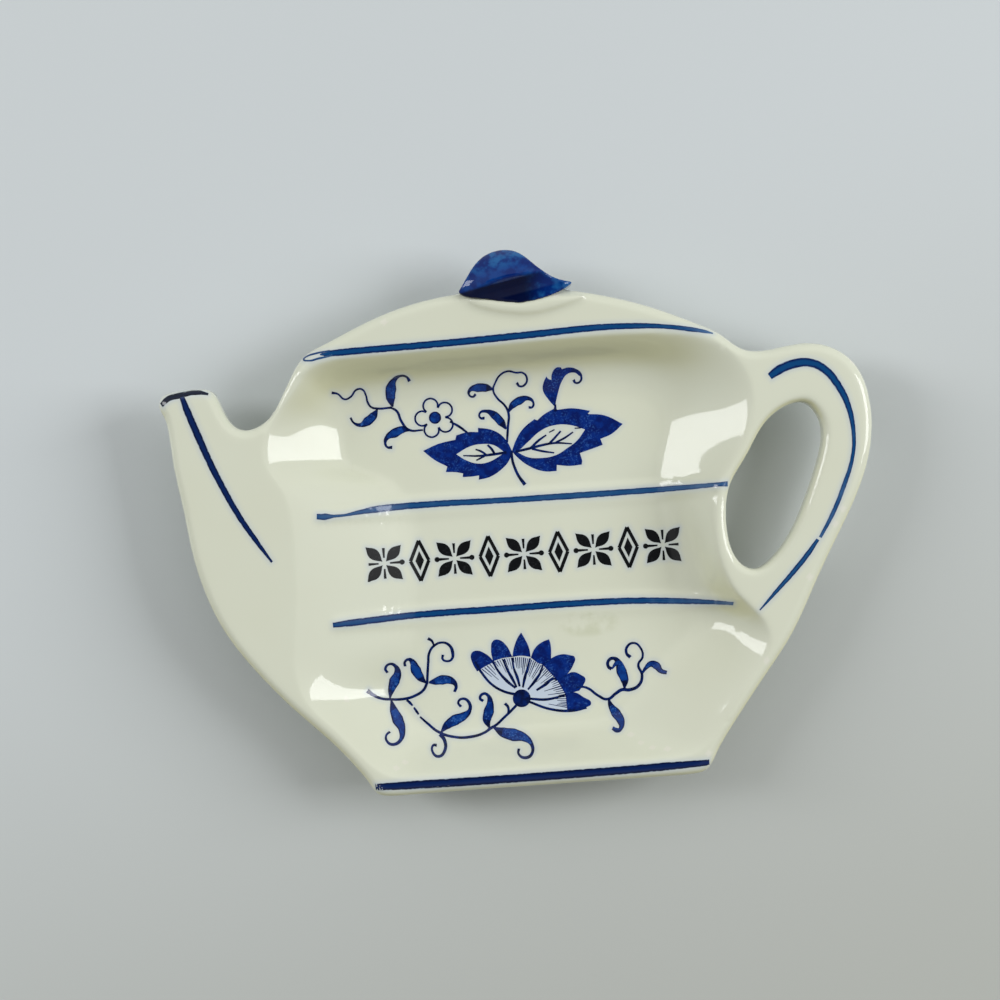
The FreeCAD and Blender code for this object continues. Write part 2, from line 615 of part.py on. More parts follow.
def draw_border():
    """A plain border of four-petalled flowers and lozenges, with dots between them."""
    faces = []
    pitch, middle_y = size("border_pitch"), size("border_y")
    start, reach_out = size("border_petal_start"), size("border_petal_reach")
    lozenge = [size("lozenge_half_length"), size("lozenge_half_height")] * 2
    for index in range(-4, 5):
        middle = (index * pitch, middle_y)
        if index % 2 == 0:
            for degrees in (45, 135, 225, 315):
                faces.append(petal(polar(middle, start, degrees),
                                   polar(middle, reach_out, degrees),
                                   size("border_petal_width")))
        else:
            tips = [polar(middle, radius, 90 * turn) for turn, radius in enumerate(lozenge)]
            faces.append(Part.Face(Part.makePolygon(points(tips + tips[:1]))))
        if index < 4:
            faces.append(disc((middle[0] + 0.5 * pitch, middle_y), size("dot_radius")))
    return faces


paint = "Sizes.paint_thick"
rib = "Sizes.rib_rise"
shoulder_rib = make_print("shoulder_rib", [stroke(SHOULDER_LINE, size("rib_width"), BAND_SHARES)], rib)
waist_rib = make_print("waist_rib", [stroke(WAIST_LINE, size("rib_width"), BAND_SHARES)], rib)
clay += [shoulder_rib, waist_rib]
band, brush = size("band_width"), size("stroke_width")
prints = [
    make_print("lid_band", [stroke(LID_LINE, band, BAND_SHARES)], paint),
    make_print("shoulder_band", [stroke(SHOULDER_LINE, band, BAND_SHARES)], f"{rib} + {paint}",
               [shoulder_rib]),
    make_print("waist_band", [stroke(WAIST_LINE, band, BAND_SHARES)], f"{rib} + {paint}",
               [waist_rib]),
    make_print("base_band", [stroke(BASE_LINE, band, BAND_SHARES)], paint),
    make_print("spout_line", [stroke(SPOUT_LINE, brush, STROKE_SHARES)], paint),
    make_print("spout_lip_line", [stroke(LIP_LINE, brush, [0.5, 0.8, 0.8, 0.5])], paint),
    make_print("handle_line", [stroke(HANDLE_LINE, brush, STROKE_SHARES)], paint),
    make_print("handle_tail_line", [stroke(TAIL_LINE, brush, [0.3, 0.9, 0.6, 0.2])], paint),
    make_print("upper_spray", draw_upper_spray(), paint),
    make_print("lower_spray", draw_lower_spray(), paint),
    make_print("centre_border", draw_border(), paint)]

# ---------------------------------------------------------------- checks, and the files

pieces = clay + prints
for thing in doc.Objects:
    marks = [mark for mark in thing.State if mark in ("Invalid", "Error")]
    if marks:
        raise SystemExit(f"{thing.Name} failed: {marks}")
for piece in pieces:
    if piece.Shape.isNull() or not piece.Shape.isValid() or not piece.Shape.Solids:
        raise SystemExit(f"{piece.Label} has no valid solid")

os.makedirs("parts", exist_ok=True)
for piece in pieces:
    piece.Shape.exportStep(f"parts/{piece.Label}.step")
    print(f"{piece.Label}: {len(piece.Shape.Solids)} solids, {len(piece.Shape.Faces)} faces,"
          f" {piece.Shape.Volume:.1f} mm3")
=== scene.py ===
"""Looks of the tea bag rest: one glazed casting, a cobalt knob, brushed lines and printed sprays.

Everything is in metres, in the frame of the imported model. Drawn outlines are in millimetres on the
plan: X along the lines towards the handle, Y towards the knob.
"""

import json
import math
import random

import bpy
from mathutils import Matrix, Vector
from mathutils.bvhtree import BVHTree

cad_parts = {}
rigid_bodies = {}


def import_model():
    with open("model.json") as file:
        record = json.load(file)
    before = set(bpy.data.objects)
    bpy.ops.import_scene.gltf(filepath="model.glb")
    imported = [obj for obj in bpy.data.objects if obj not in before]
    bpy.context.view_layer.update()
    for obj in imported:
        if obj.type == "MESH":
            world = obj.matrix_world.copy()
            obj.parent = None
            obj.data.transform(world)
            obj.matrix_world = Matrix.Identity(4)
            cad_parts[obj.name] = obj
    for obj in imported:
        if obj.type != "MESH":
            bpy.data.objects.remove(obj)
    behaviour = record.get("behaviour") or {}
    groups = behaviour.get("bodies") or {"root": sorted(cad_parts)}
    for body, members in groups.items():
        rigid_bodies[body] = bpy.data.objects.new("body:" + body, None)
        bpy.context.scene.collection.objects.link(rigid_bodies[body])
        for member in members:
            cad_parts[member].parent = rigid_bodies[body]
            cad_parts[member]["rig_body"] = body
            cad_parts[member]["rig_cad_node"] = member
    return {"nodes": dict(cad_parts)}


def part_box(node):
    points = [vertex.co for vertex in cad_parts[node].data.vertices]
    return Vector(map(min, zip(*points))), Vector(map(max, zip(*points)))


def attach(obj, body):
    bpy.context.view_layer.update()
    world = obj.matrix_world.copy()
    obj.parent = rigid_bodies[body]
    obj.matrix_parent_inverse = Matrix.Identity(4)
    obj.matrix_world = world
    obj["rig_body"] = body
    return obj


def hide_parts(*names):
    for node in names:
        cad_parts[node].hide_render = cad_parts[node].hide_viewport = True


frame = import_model()
bpy.context.view_layer.update()

# ---------------------------------------------------------------- sizes

MM = 0.001
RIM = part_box("lid")[1].z
ABOVE = 2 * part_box("knob")[1].z

# The camera: the middle of its picture, its height over the rim, and the width it sees there.
VIEW_MIDDLE = (-3.35 * MM, 3.27 * MM)
VIEW_RISE = 0.320
VIEW_WIDTH = 0.160
VIEW_ROLL = math.radians(-3.7)
VIEW_CLIP = 0.010
SENSOR = 36.0

# The skin of glaze: its grain, and how many rounds of smoothing soften its edges.
CLAY_GRAIN = 0.46 * MM
CLAY_ROUNDS = 7
KNOB_GRAIN = 0.24 * MM
KNOB_ROUNDS = 4
SMOOTHING = 0.5
MERGE_GAP = 0.002 * MM

# How far above the glaze paint and print are laid. What overlaps lies at different heights.
LINE_LIFT = 0.02 * MM
LEAF_LIFT = 0.5 * LINE_LIFT
PETAL_LIFT = 0.8 * LINE_LIFT
WASH_LIFT = 0.035 * MM
INK_DEPTH = 0.08 * MM
BLEED_REACH = 1.1 * MM

# How finely curves and filled shapes are divided.
LINE_STEPS = 8
BRUSH_STEPS = 16
BRUSH_PARTS = 4
PATCH_STEPS = 5
PATCH_PITCH = 0.9 * MM

# The crease across the knob. In front of it, under the overhanging crest, the knob is painted almost
# black: painted shade, where the glaze also pools.
CREASE_SLOPE = math.tan(math.radians(11))
CREASE_Y = 38.2 * MM

# The patch of tea stain below the waist line.
STAIN_MIDDLE = (9.7 * MM, -17.8 * MM)
STAIN_HALF_LENGTH = 5.6 * MM
STAIN_HALF_WIDTH = 2.4 * MM

# The nodes that share one skin of ivory glaze.
CLAY = ("bowl", "lid", "spout", "handle", "shoulder_rib", "waist_rib", "knob_collar")

# The stage: its floor lies just under the foot ring, so that the two don't coincide.
FLOOR_SIZE = 4
FLOOR_DROP = 0.02 * MM
WINDOW_DISTANCE = 0.9
WINDOW_RADIANCE = 8.0

# ---------------------------------------------------------------- drawn lines and prints

# A point of an outline that ends in SHARP is a corner.
SHARP = True

# Brushed lines, each point with the width of the stroke there.
LID_LINE = [(-30.6, 28.35, 0.2), (-29.6, 28.4, 0.95), (-27.0, 28.5, 1.15), (-9.7, 28.9, 1.2),
            (4.0, 29.4, 1.2), (14.4, 29.8, 1.1), (20.5, 29.65, 0.95), (24.5, 29.3, 0.75),
            (28.7, 28.6, 0.8), (31.0, 28.1, 0.6), (32.4, 27.7, 0.2)]
# The lid line's left end is a thin loop round bare glaze: a painted highlight where the glaze over
# the rim's bend reflects a window.
LID_HIGHLIGHT_LOOP = [(-29.0, 28.85, 0.3), (-31.2, 28.6, 0.32), (-32.8, 28.2, 0.3), (-33.3, 27.8, 0.32),
               (-32.6, 27.5, 0.3), (-30.8, 27.75, 0.34), (-28.6, 28.1, 0.3)]
# The shoulder line thins to a thread for a few millimetres near its left end: the bare glaze left
# there is a painted highlight on the rib.
SHOULDER_LINE = [(-32.9, 2.5, 0.9), (-31.6, 2.4, 1.1), (-30.2, 2.4, 0.5), (-28.4, 2.45, 0.45),
                 (-26.6, 2.7, 0.7), (-23.6, 3.05, 1.15),
                 (-15.0, 3.3, 1.1), (-3.4, 3.2, 1.0), (9.0, 3.2, 1.1), (22.3, 3.3, 1.0),
                 (28.0, 3.4, 0.85), (32.0, 3.5, 0.7), (33.2, 3.5, 0.9)]
WAIST_LINE = [(-31.5, -15.1, 0.8), (-29.0, -15.0, 1.15), (-18.0, -14.6, 1.15), (-4.5, -14.5, 1.2),
              (9.0, -14.4, 1.15), (17.9, -14.6, 1.1), (26.0, -15.2, 1.0), (33.1, -15.8, 0.6)]
BASE_LINE = [(-26.2, -41.3, 1.1), (-20.0, -41.35, 1.4), (-6.2, -41.35, 1.4), (10.0, -41.2, 1.4),
             (20.0, -41.0, 1.35), (27.4, -40.8, 1.0)]
SPOUT_LINE = [(-53.1, 23.0, 0.8), (-52.4, 20.8, 1.15), (-50.8, 16.3, 1.2), (-49.2, 12.0, 1.1),
              (-47.9, 9.0, 1.05), (-45.2, 3.4, 0.95), (-42.8, -0.6, 0.8), (-40.4, -4.3, 0.35)]
LIP_LINE = [(-56.5, 21.9, 0.8), (-55.3, 22.85, 0.95), (-53.6, 23.25, 1.0), (-52.2, 23.5, 0.9),
            (-50.4, 23.55, 0.8), (-48.9, 23.2, 0.4)]
HANDLE_LINE = [(41.0, 20.2, 1.1), (42.4, 21.1, 1.5), (44.6, 21.9, 1.5), (47.5, 22.0, 1.4),
               (49.8, 20.8, 1.3), (51.7, 18.3, 1.2), (53.2, 14.8, 0.95), (53.8, 10.0, 0.65),
               (53.4, 6.6, 0.6), (51.8, 2.2, 0.75), (49.6, -2.4, 0.7), (47.4, -6.0, 0.5)]
TAIL_LINE = [(47.0, -6.3, 0.55), (45.0, -8.8, 0.85), (42.6, -11.4, 0.8), (39.6, -14.4, 0.6),
             (37.0, -17.0, 0.2)]

# The upper spray. Stems and leaves run from root to tip, each point with its width.
UPPER_STEMS = [
    [(-29.5, 22.4, 0.45), (-28.6, 22.2, 0.3), (-27.6, 21.3, 0.3), (-26.6, 21.6, 0.3),
     (-25.5, 22.7, 0.3), (-24.6, 22.7, 0.3), (-24.1, 21.8, 0.3), (-23.9, 20.6, 0.34),
     (-23.4, 19.8, 0.34), (-22.4, 19.5, 0.36), (-20.2, 19.5, 0.36)],
    [(-20.4, 19.6, 0.32), (-19.3, 18.9, 0.4), (-18.6, 17.1, 0.42), (-17.5, 15.7, 0.4),
     (-15.2, 15.5, 0.3)],
    [(-10.7, 16.6, 0.3), (-9.4, 15.8, 0.42), (-8.2, 14.8, 0.36), (-7.4, 14.0, 0.3)],
    [(-1.0, 11.2, 0.5), (-0.9, 9.6, 0.42), (-0.6, 8.4, 0.44), (-0.1, 7.1, 0.46),
     (0.9, 5.5, 0.6)],
    [(-1.6, 12.6, 0.34), (-1.3, 15.0, 0.4), (-1.05, 17.4, 0.4), (-1.6, 18.7, 0.36),
     (-2.7, 19.9, 0.34), (-3.3, 21.3, 0.32), (-2.9, 22.4, 0.3), (-2.0, 23.6, 0.3),
     (-0.7, 24.1, 0.3), (0.6, 23.8, 0.3), (1.7, 23.7, 0.3), (2.3, 22.9, 0.34),
     (2.0, 21.9, 0.34), (1.1, 21.6, 0.34), (0.6, 22.2, 0.46)],
    [(6.7, 18.3, 0.3), (6.6, 17.2, 0.5)]]
UPPER_LEAVES = [
    [(-22.4, 19.4, 0.2), (-23.1, 18.4, 1.3), (-24.2, 17.5, 1.5), (-25.3, 17.0, 0.7),
     (-26.4, 17.4, 0.34), (-26.9, 18.3, 0.34)],
    [(-19.9, 19.6, 0.3), (-20.1, 21.0, 1.5), (-19.9, 22.6, 1.75), (-19.3, 23.8, 0.8),
     (-18.3, 24.4, 0.34), (-17.2, 24.2, 0.34), (-16.8, 23.5, 0.55)],
    [(-17.3, 15.6, 0.3), (-18.5, 15.8, 1.2), (-19.9, 15.3, 1.55), (-21.1, 14.7, 0.8),
     (-21.5, 13.8, 0.42), (-21.2, 13.1, 0.36), (-20.4, 13.0, 0.55)],
    [(-3.3, 21.4, 0.3), (-4.4, 21.7, 1.3), (-5.8, 21.8, 1.4), (-7.1, 21.5, 0.6),
     (-7.3, 20.8, 0.34), (-6.7, 20.4, 0.34), (-6.2, 20.8, 0.42)],
    [(-1.0, 17.6, 0.3), (-0.3, 18.6, 1.1), (0.9, 19.3, 1.35), (2.2, 19.6, 0.7),
     (3.1, 18.9, 0.36), (2.9, 18.1, 0.34), (2.3, 18.1, 0.45)],
    [(-1.6, 14.8, 0.3), (-2.3, 15.9, 1.3), (-3.4, 17.2, 1.3), (-4.6, 17.9, 0.55),
     (-5.7, 17.7, 0.34), (-5.7, 16.9, 0.34), (-5.0, 16.8, 0.5)]]
FLOWER_MIDDLE = (-13.1, 17.4)
FLOWER_PETAL_TURNS = (107, 35, -37, -109, 180)
FLOWER_PETAL_REACH = 2.05
FLOWER_PETAL_RADIUS = 1.2
FLOWER_PETAL_ARC = (-125, -85, -40, 0, 40, 85, 125)
FLOWER_PETAL_LINE = 0.3
FLOWER_EYE_RADIUS = 0.75
FLOWER_EYE_BORDER = 0.25
LEAF_BORDER = 0.35
BELLY_FROM = 1.6 * LEAF_BORDER
LEFT_LEAF = [(-0.9, 11.2, SHARP), (-1.5, 12.6), (-2.6, 14.0), (-4.2, 14.9), (-6.2, 15.3, SHARP),
             (-6.2, 14.6, SHARP), (-8.0, 14.7), (-9.8, 14.3, SHARP), (-10.0, 13.6, SHARP),
             (-12.8, 13.1), (-15.4, 12.1, SHARP), (-13.6, 10.5), (-11.6, 9.3, SHARP),
             (-11.9, 8.4, SHARP), (-10.4, 8.3), (-9.1, 8.0, SHARP), (-9.2, 7.4, SHARP),
             (-7.7, 7.4), (-6.5, 7.5, SHARP), (-6.6, 6.8, SHARP), (-4.9, 7.1), (-3.0, 8.1),
             (-1.4, 9.7)]
LEFT_LEAF_BARE = [(-10.0, 11.2, SHARP), (-7.8, 12.3), (-5.8, 12.6), (-3.8, 12.3),
                  (-2.1, 11.0, SHARP), (-3.4, 10.2), (-5.2, 9.5), (-6.8, 9.5), (-8.6, 10.2)]
RIGHT_LEAF = [(-0.9, 11.1, SHARP), (-0.1, 12.9), (1.2, 14.7), (3.1, 16.1, SHARP),
              (3.6, 15.9, SHARP), (4.6, 16.7), (6.6, 17.7, SHARP), (7.0, 17.4, SHARP),
              (9.4, 17.5), (12.3, 16.9, SHARP), (11.9, 16.4, SHARP), (14.6, 16.0),
              (17.5, 14.4, SHARP), (15.6, 12.9), (13.7, 12.2, SHARP), (14.0, 11.2, SHARP),
              (12.0, 10.6), (10.2, 10.1, SHARP), (10.5, 8.8, SHARP), (10.4, 8.2, SHARP),
              (8.4, 8.1), (6.3, 8.4, SHARP), (6.2, 7.4, SHARP), (4.1, 7.5), (1.8, 8.5),
              (0.0, 10.0)]
RIGHT_LEAF_BARE = [(0.0, 10.9, SHARP), (2.0, 12.6), (4.1, 14.2), (6.2, 14.9), (8.8, 14.8),
                   (11.3, 13.9, SHARP), (9.9, 12.2), (8.3, 11.1), (6.2, 10.0), (3.6, 9.7),
                   (1.6, 10.0)]
LEAF_VEINS = [
    [(-1.8, 11.0, 0.4), (-3.9, 10.8, 0.45), (-6.3, 10.7, 0.36), (-8.9, 10.9, 0.2)],
    [(-3.7, 10.8, 0.4), (-4.2, 11.7, 0.4), (-4.8, 12.4, 0.34)],
    [(-5.0, 10.7, 0.34), (-5.9, 11.4, 0.36), (-6.8, 11.8, 0.26)],
    [(-5.4, 10.6, 0.3), (-6.1, 10.3, 0.3), (-6.8, 10.0, 0.24)],
    [(-0.2, 11.0, 0.4), (2.1, 11.4, 0.45), (4.2, 11.8, 0.42), (6.2, 12.0, 0.36),
     (9.0, 11.7, 0.22)],
    [(2.3, 11.5, 0.4), (3.6, 12.6, 0.4), (4.9, 13.4, 0.24)],
    [(5.2, 11.9, 0.36), (6.2, 12.8, 0.36), (7.3, 13.9, 0.3)],
    [(6.4, 12.1, 0.34), (7.8, 12.7, 0.34), (9.3, 13.6, 0.24)],
    [(2.4, 11.3, 0.36), (4.1, 10.8, 0.36), (6.0, 10.4, 0.24)],
    [(5.4, 13.8, 0.2), (6.3, 14.2, 0.2)], [(9.6, 14.2, 0.2), (10.6, 14.2, 0.2)]]
FROND = [(6.6, 17.9, SHARP), (5.6, 19.2), (4.8, 20.8), (5.0, 22.0), (5.5, 22.9, SHARP),
         (5.8, 22.5), (6.3, 22.3, SHARP), (6.4, 23.2), (7.2, 24.2), (7.9, 24.2, SHARP),
         (8.1, 23.9, SHARP), (9.2, 24.1), (10.5, 23.7), (11.1, 22.7), (10.2, 23.2), (9.0, 23.1),
         (8.0, 22.0), (7.3, 20.3)]
FROND_CURL = [(9.6, 23.6, 0.6), (10.6, 23.4, 0.5), (11.2, 22.5, 0.36), (10.9, 21.7, 0.34),
              (10.2, 21.6, 0.34), (9.9, 22.1, 0.45)]

# The lower spray.
LOWER_STEMS = [
    [(-26.9, -26.3, 0.7), (-26.0, -27.1, 0.5), (-24.8, -27.8, 0.4), (-23.4, -28.1, 0.42),
     (-21.0, -28.2, 0.45), (-19.3, -27.8, 0.45), (-17.8, -26.9, 0.45), (-17.2, -25.8, 0.45)],
    [(-17.2, -26.0, 0.4), (-17.0, -24.2, 0.42), (-16.8, -22.6, 0.42), (-16.5, -20.9, 0.4),
     (-15.6, -19.8, 0.4), (-14.3, -19.4, 0.36), (-13.2, -19.9, 0.45), (-12.7, -21.1, 0.55),
     (-12.9, -22.2, 0.4), (-13.7, -22.5, 0.36), (-14.4, -22.1, 0.36), (-14.3, -21.4, 0.42)],
    [(-16.6, -18.6, 0.5), (-16.0, -19.0, 0.4), (-15.7, -19.7, 0.3)],
    [(-20.7, -28.4, 0.4), (-20.2, -28.9, 0.45), (-19.8, -29.4, 0.3)],
    [(-19.6, -29.7, 0.3), (-19.2, -30.4, 0.42), (-18.9, -30.9, 0.3)],
    [(-18.7, -31.3, 0.3), (-17.5, -32.5, 0.4), (-15.9, -33.9, 0.45), (-13.2, -34.9, 0.4),
     (-10.4, -35.0, 0.42), (-8.3, -34.5, 0.4), (-7.3, -33.9, 0.5)],
    [(-7.3, -33.9, 0.5), (-6.3, -33.4, 0.42), (-5.1, -32.4, 0.42), (-3.9, -31.4, 0.42),
     (-2.6, -30.2, 0.42)],
    [(-4.7, -30.0, 0.5), (-4.2, -30.7, 0.42), (-4.3, -31.8, 0.3)],
    [(7.0, -28.3, 0.3), (7.9, -28.1, 0.36), (9.0, -28.4, 0.42), (10.6, -29.7, 0.42),
     (12.1, -30.4, 0.45), (13.6, -29.5, 0.5), (14.6, -29.0, 0.55), (15.8, -29.1, 0.55),
     (17.4, -28.4, 0.5), (18.0, -26.8, 0.45), (17.5, -25.1, 0.4), (18.3, -23.8, 0.36),
     (18.0, -22.3, 0.34), (17.0, -21.5, 0.36), (15.9, -22.0, 0.42), (15.7, -23.1, 0.45),
     (16.3, -23.8, 0.6)]]
LOWER_LEAVES = [
    [(-23.4, -27.9, 0.25), (-23.1, -26.6, 1.1), (-22.5, -25.2, 1.75), (-21.9, -23.9, 1.2),
     (-22.2, -22.7, 0.55), (-23.1, -22.3, 0.4), (-23.8, -23.0, 0.4), (-23.5, -23.7, 0.4)],
    [(-23.2, -28.3, 0.3), (-22.9, -29.8, 1.2), (-22.3, -31.4, 1.75), (-21.7, -33.0, 1.1),
     (-22.0, -34.6, 0.6), (-23.2, -35.1, 0.45), (-24.1, -34.5, 0.36), (-24.2, -33.6, 0.34),
     (-23.6, -33.1, 0.4)],
    [(-17.4, -25.8, 0.3), (-18.2, -24.9, 1.3), (-18.9, -23.6, 1.7), (-19.4, -22.2, 0.9),
     (-20.0, -21.8, 0.45), (-20.6, -22.2, 0.4), (-20.6, -22.9, 0.45)],
    [(-16.9, -25.8, 0.3), (-15.9, -25.7, 1.1), (-14.7, -25.5, 1.6), (-13.3, -25.7, 1.2),
     (-12.5, -26.6, 0.55), (-12.8, -27.6, 0.45)],
    [(-15.4, -34.0, 0.3), (-14.4, -33.0, 1.3), (-13.0, -32.2, 1.8), (-11.5, -31.6, 1.3),
     (-10.5, -30.7, 0.6), (-10.6, -29.4, 0.5), (-11.5, -28.8, 0.42), (-12.3, -29.3, 0.36),
     (-11.9, -30.1, 0.42)],
    [(-15.6, -34.3, 0.6), (-14.9, -35.3, 0.55), (-14.9, -36.7, 0.5), (-15.9, -37.5, 0.4),
     (-16.9, -36.8, 0.36), (-16.8, -35.9, 0.36), (-16.2, -35.9, 0.42)],
    [(-7.5, -33.8, 0.3), (-7.8, -32.5, 1.4), (-7.4, -31.1, 1.7), (-7.1, -29.6, 1.0),
     (-7.4, -28.5, 0.5), (-8.1, -28.2, 0.45), (-8.7, -28.9, 0.45), (-8.2, -29.4, 0.45)],
    [(-6.8, -33.8, 0.3), (-5.4, -34.6, 1.5), (-3.6, -35.1, 1.9), (-1.9, -35.6, 1.2),
     (-0.8, -36.6, 0.6), (-0.8, -37.8, 0.45), (-1.9, -38.4, 0.42), (-3.0, -37.8, 0.36),
     (-2.9, -37.1, 0.42)],
    [(15.0, -28.8, 0.3), (15.1, -27.5, 1.3), (14.7, -26.0, 1.7), (14.3, -24.6, 1.1),
     (13.6, -23.8, 0.55), (12.7, -24.1, 0.5), (12.6, -25.1, 0.5), (13.1, -25.5, 0.6)],
    [(18.0, -26.6, 0.3), (18.7, -25.7, 0.6), (19.6, -25.1, 1.0), (20.4, -25.4, 1.3),
     (21.1, -26.3, 0.8), (22.0, -26.6, 0.6)],
    [(12.3, -30.4, 0.3), (12.6, -31.5, 0.9), (13.3, -32.7, 1.6), (14.0, -34.0, 1.3),
     (13.9, -35.1, 0.6), (13.2, -35.5, 0.45), (12.6, -35.0, 0.6)]]
FLOWER_DISC = (-1.9, -29.35)
FLOWER_DISC_RADIUS = 1.45
OPEN_PETALS = [
    [(-8.9, -24.5, SHARP), (-9.6, -23.0), (-9.7, -21.6), (-9.0, -21.1), (-7.2, -21.8),
     (-6.0, -23.1, SHARP), (-7.2, -23.6)],
    [(-6.2, -23.0, SHARP), (-6.4, -21.0), (-6.0, -19.7), (-5.2, -19.5), (-3.9, -20.5),
     (-3.0, -22.5, SHARP), (-4.6, -22.6)],
    [(-3.0, -22.5, SHARP), (-2.6, -20.9), (-1.9, -19.4), (-1.3, -18.6, SHARP), (-0.8, -19.6),
     (-0.2, -21.1), (0.0, -22.7, SHARP), (-1.5, -22.4)],
    [(0.0, -22.8, SHARP), (0.8, -21.3), (2.2, -20.3), (3.2, -20.0, SHARP), (3.4, -21.0),
     (3.3, -23.4, SHARP), (1.8, -24.0)],
    [(1.8, -24.0, SHARP), (3.4, -23.1), (4.9, -22.6), (6.4, -22.8), (7.2, -23.2), (6.9, -24.4),
     (5.6, -26.2, SHARP), (4.1, -26.8, SHARP)],
    [(4.1, -26.8, SHARP), (5.6, -26.0), (6.7, -25.6), (8.1, -26.2), (8.7, -26.8), (8.4, -27.7),
     (7.6, -28.7, SHARP), (5.3, -29.2, SHARP)],
    [(5.3, -29.2, SHARP), (6.6, -28.9), (8.2, -29.8), (9.4, -30.9), (8.6, -31.5), (6.9, -31.9),
     (5.4, -31.7, SHARP)]]
FAN_RIBS = [
    [(-2.6, -28.7, 0.45), (-4.6, -28.1, 0.42), (-6.6, -26.8, 0.4), (-8.2, -24.7, 0.4),
     (-9.2, -22.9, 0.45)],
    [(-2.8, -27.6, 0.34), (-4.1, -26.4, 0.5), (-5.6, -24.4, 0.36), (-6.2, -23.0, 0.34)],
    [(-2.6, -27.5, 0.3), (-3.3, -25.9, 0.5), (-4.1, -24.2, 0.36), (-4.5, -22.8, 0.3)],
    [(-2.1, -27.4, 0.34), (-2.4, -25.9, 0.48), (-2.9, -24.2, 0.34), (-3.0, -22.6, 0.3)],
    [(-1.6, -27.6, 0.3), (-1.2, -26.1, 0.5), (-0.6, -24.4, 0.36), (-0.1, -22.9, 0.3)],
    [(-0.8, -28.0, 0.3), (0.5, -26.6, 0.5), (1.5, -25.2, 0.36), (1.9, -24.1, 0.3)],
    [(0.6, -28.2, 0.34), (2.2, -27.3, 0.5), (3.5, -26.5, 0.36), (4.1, -26.7, 0.3)],
    [(-0.6, -29.5, 0.4), (2.0, -29.8, 0.45), (4.2, -29.5, 0.36), (5.4, -29.2, 0.34)],
    [(-0.7, -30.0, 0.4), (2.6, -31.4, 0.42), (6.2, -31.9, 0.45), (8.6, -31.5, 0.5)]]
FAN_HEEL = (-2.2, -29.4)
FAN_EDGE = [(-8.3, -24.3), (-6.4, -23.2), (-4.6, -22.7), (-3.0, -22.6), (-1.5, -22.6),
            (-0.1, -23.0), (1.2, -23.8), (2.4, -24.8), (3.4, -25.9), (4.4, -27.2), (5.2, -28.8),
            (5.5, -30.3), (5.6, -31.5)]
FAN_HATCHES = 52
HATCH_SEED = 11
HATCH_LENGTHS = (0.12, 0.42)
HATCH_WIDTHS = (0.1, 0.22)
HATCH_TIP = 0.08

# The border: four petals and four short rays to a flower, open lozenges with a solid heart, dots.
BORDER_PITCH = 5.7
BORDER_Y = -5.8
BORDER_FLOWERS = (-4, -2, 0, 2, 4)
BORDER_LOZENGES = (-3, -1, 1, 3)
BORDER_DOTS = (-3.5, -2.5, -1.5, -0.5, 0.5, 1.5, 2.5, 3.5)
PETAL_TURNS = (45, 135, 225, 315)
PETAL_HEEL = 0.4
PETAL_MIDDLE = 2.3
PETAL_TIP = 4.0
PETAL_HALF_WIDTH = 0.85
RAY_TURNS = (0, 90, 180, 270)
RAY_HEEL = 0.9
RAY_HEEL_WIDTH = 0.25
RAY_TIP = 2.5
RAY_TIP_WIDTH = 0.45
LOZENGE_REACH = (1.5, 3.3)
LOZENGE_LINE = 0.55
LOZENGE_HEART = (0.7, 1.6)
DOT_RADIUS = 0.42
DOT_POINTS = 6

# ---------------------------------------------------------------- modelling helpers


def only(*objects):
    """Selects these objects and nothing else, the first of them active."""
    bpy.ops.object.select_all(action="DESELECT")
    for thing in objects:
        thing.select_set(True)
    bpy.context.view_layer.objects.active = objects[0]


def apply_modifier(piece, kind, **settings):
    """Adds one modifier to a piece and applies it."""
    only(piece)
    bpy.ops.object.modifier_add(type=kind)
    modifier = piece.modifiers[-1]
    for setting, value in settings.items():
        setattr(modifier, setting, value)
    bpy.ops.object.modifier_apply(modifier=modifier.name)


def edit(piece, *steps):
    """Runs edit-mode steps on the whole mesh of a piece."""
    only(piece)
    bpy.ops.object.mode_set(mode="EDIT")
    for step in steps:
        bpy.ops.mesh.select_all(action="SELECT")
        step()
    bpy.ops.object.mode_set(mode="OBJECT")


def merge_points():
    bpy.ops.mesh.remove_doubles(threshold=MERGE_GAP)


def shade_smooth(piece):
    only(piece)
    bpy.ops.object.shade_smooth()


def clay_copy(name, nodes):
    """One mesh made of copies of CAD nodes, merged along their seams."""
    only(*[frame["nodes"][node] for node in nodes])
    bpy.ops.object.duplicate()
    copies = list(bpy.context.selected_objects)
    for copy in copies:
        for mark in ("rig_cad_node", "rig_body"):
            del copy[mark]
    only(*copies)
    if len(copies) > 1:
        bpy.ops.object.join()
    piece = bpy.context.object
    piece.name = name
    piece.data.materials.clear()
    edit(piece, merge_points)
    return piece


def ride_root(piece, slot, *replaced):
    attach(piece, "root")
    if replaced:
        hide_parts(*replaced)


# ---------------------------------------------------------------- clay


def glaze_over(piece, grain, rounds):
    """Makes a piece one skin of even grain, its edges rounded as by glaze."""
    apply_modifier(piece, "REMESH", mode="VOXEL", voxel_size=grain)
    apply_modifier(piece, "SMOOTH", factor=SMOOTHING, iterations=rounds)
    shade_smooth(piece)


def make_casting():
    """The whole dish except its knob and its foot ring, seamless under the glaze."""
    casting = clay_copy("casting_glazed", CLAY)
    glaze_over(casting, CLAY_GRAIN, CLAY_ROUNDS)
    ride_root(casting, "ivory_glaze", *CLAY)
    return casting


def make_knob():
    """The bud on the lid, with its hollow front and its drawn-out tip."""
    knob = clay_copy("knob_glazed", ["knob"])
    glaze_over(knob, KNOB_GRAIN, KNOB_ROUNDS)
    ride_root(knob, "cobalt_glaze", "knob")
    return knob


# ---------------------------------------------------------------- paint and print


def curve_piece(name):
    """A new flat curve object above the dish, with no points yet."""
    bpy.ops.object.select_all(action="DESELECT")
    bpy.ops.curve.primitive_bezier_curve_add(location=(0, 0, 0))
    piece = bpy.context.object
    piece.name = name
    piece.data.dimensions = "2D"
    piece.data.splines.clear()
    return piece


